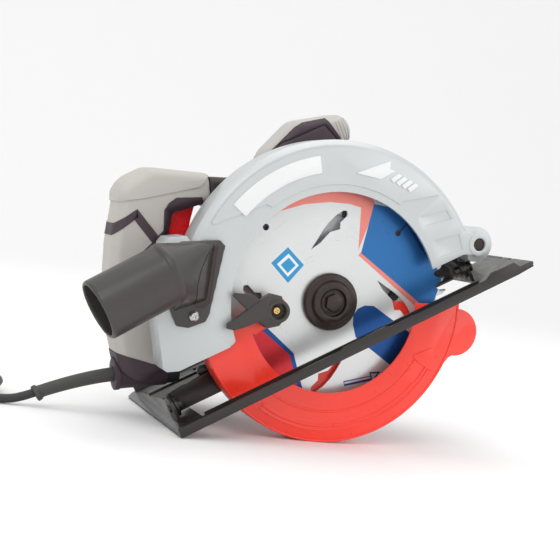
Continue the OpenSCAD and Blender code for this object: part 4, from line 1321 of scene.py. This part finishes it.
@dataclass
class Studio:
    """The camera, the pale sweep the saw stands on and the soft lights; sizes in metres."""

    camera_at: Point3 = (-0.3625, -0.9443, 0.1634)
    looks_along: Point3 = (0.36319, 0.93078, -0.04172)
    roll: float = 8.374
    lens: float = 77.86
    sweep_half: float = 3.5
    sweep_curve: float = 1.4
    paper: Colour = (0.93, 0.93, 0.93)
    surround_strength: float = 0.95
    lamps_aim: Point3 = (0.0, 0.0, 0.12)
    # Each lamp's name, place, width and power in watts.
    lamps: tuple[tuple[str, Point3, float, float], ...] = (
        ("key_lamp", (-0.9, -1.3, 1.5), 1.2, 8.0),
        ("fill_lamp", (1.4, -1.2, 0.9), 1.4, 5.0),
        ("top_lamp", (0.1, 0.3, 1.9), 1.8, 9.0))

    def camera(self) -> None:
        """Stands the camera at the saw's near side, by its rear."""
        forward = Vector(self.looks_along).normalized()
        level = forward.to_track_quat("-Z", "Y").to_matrix().to_4x4()
        turned = level @ Matrix.Rotation(math.radians(self.roll), 4, "Z")
        data = bpy.data.cameras.new("camera")
        data.lens = self.lens
        data.sensor_width = 36.0
        data.clip_start = 0.01
        camera = Bench.place("camera", data)
        camera.matrix_world = Matrix.Translation(self.camera_at) @ turned
        bpy.context.scene.camera = camera

    def sweep(self) -> None:
        """A white floor that curves up into a wall behind the saw."""
        Bench.clear()
        bpy.ops.mesh.primitive_plane_add(size=2 * self.sweep_half, location=(0.0, 0.0, 0.0))
        floor = Bench.named("studio_sweep")
        Bench.edit(floor)
        bpy.ops.mesh.select_all(action="DESELECT")
        bpy.ops.object.mode_set(mode="OBJECT")
        for edge in floor.data.edges:
            ends = [floor.data.vertices[v].co for v in edge.vertices]
            edge.select = all(p.y > 0.9 * self.sweep_half for p in ends)
        bpy.ops.object.mode_set(mode="EDIT")
        bpy.ops.mesh.extrude_region_move(
            TRANSFORM_OT_translate={"value": (0.0, 0.0, 1.2 * self.sweep_half)})
        Bench.clear()
        Bench.apply(floor, "BEVEL", width=self.sweep_curve, segments=16, limit_method="ANGLE",
                    angle_limit=math.radians(45.0))
        Bench.hold(floor)
        bpy.ops.object.shade_smooth()
        made = bpy.data.materials.new("studio_paper")
        made.use_nodes = True
        sheet = NodeSheet(made.node_tree)
        shader = made.node_tree.nodes["Principled BSDF"]
        grain = Groups.node(sheet, "grain")
        where = sheet.add("ShaderNodeTexCoord")
        sheet.feed(grain, Vector=where.outputs["Object"], Colour=(*self.paper, 1.0),
                   Drift=0.002, Roughness=0.6)
        sheet.feed(shader, Base_Color=grain.outputs["Colour"], Roughness=grain.outputs["Roughness"])
        floor.data.materials.clear()
        floor.data.materials.append(made)

    def lights(self) -> None:
        """Large soft lamps and a white surround."""
        world = bpy.data.worlds.new("surround")
        world.use_nodes = True
        surround = world.node_tree.nodes["Background"]
        surround.inputs["Color"].default_value = (1.0, 1.0, 1.0, 1.0)
        surround.inputs["Strength"].default_value = self.surround_strength
        bpy.context.scene.world = world
        for name, at, size, power in self.lamps:
            data = bpy.data.lights.new(name, "AREA")
            data.shape = "DISK"
            data.size = size
            data.energy = power
            aim = (Vector(self.lamps_aim) - Vector(at)).to_track_quat("-Z", "Y")
            Bench.place(name, data).matrix_world = \
                Matrix.Translation(at) @ aim.to_matrix().to_4x4()

    def build(self) -> None:
        """Sets up the camera, the sweep, the lights and a plain colour transform."""
        self.camera()
        self.sweep()
        self.lights()
        bpy.context.scene.view_settings.view_transform = "Standard"


def main() -> None:
    """Builds the studio, the lead and every sub-assembly round the CAD frame."""
    logging.basicConfig(level=logging.INFO, format="%(message)s")
    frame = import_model()
    Studio().build()
    MainsLead(frame).build()
    for kind in (UpperGuard, LowerGuard, BladeSet, Motor, Armature, RearHandle, FrontHandle,
                 DustPort, DepthFrame, Shoe):
        kind(frame).build()
    for body, part in CONTROLS:
        SubAssembly(frame, body, (part,)).build()


if __name__ == "__main__":
    main()
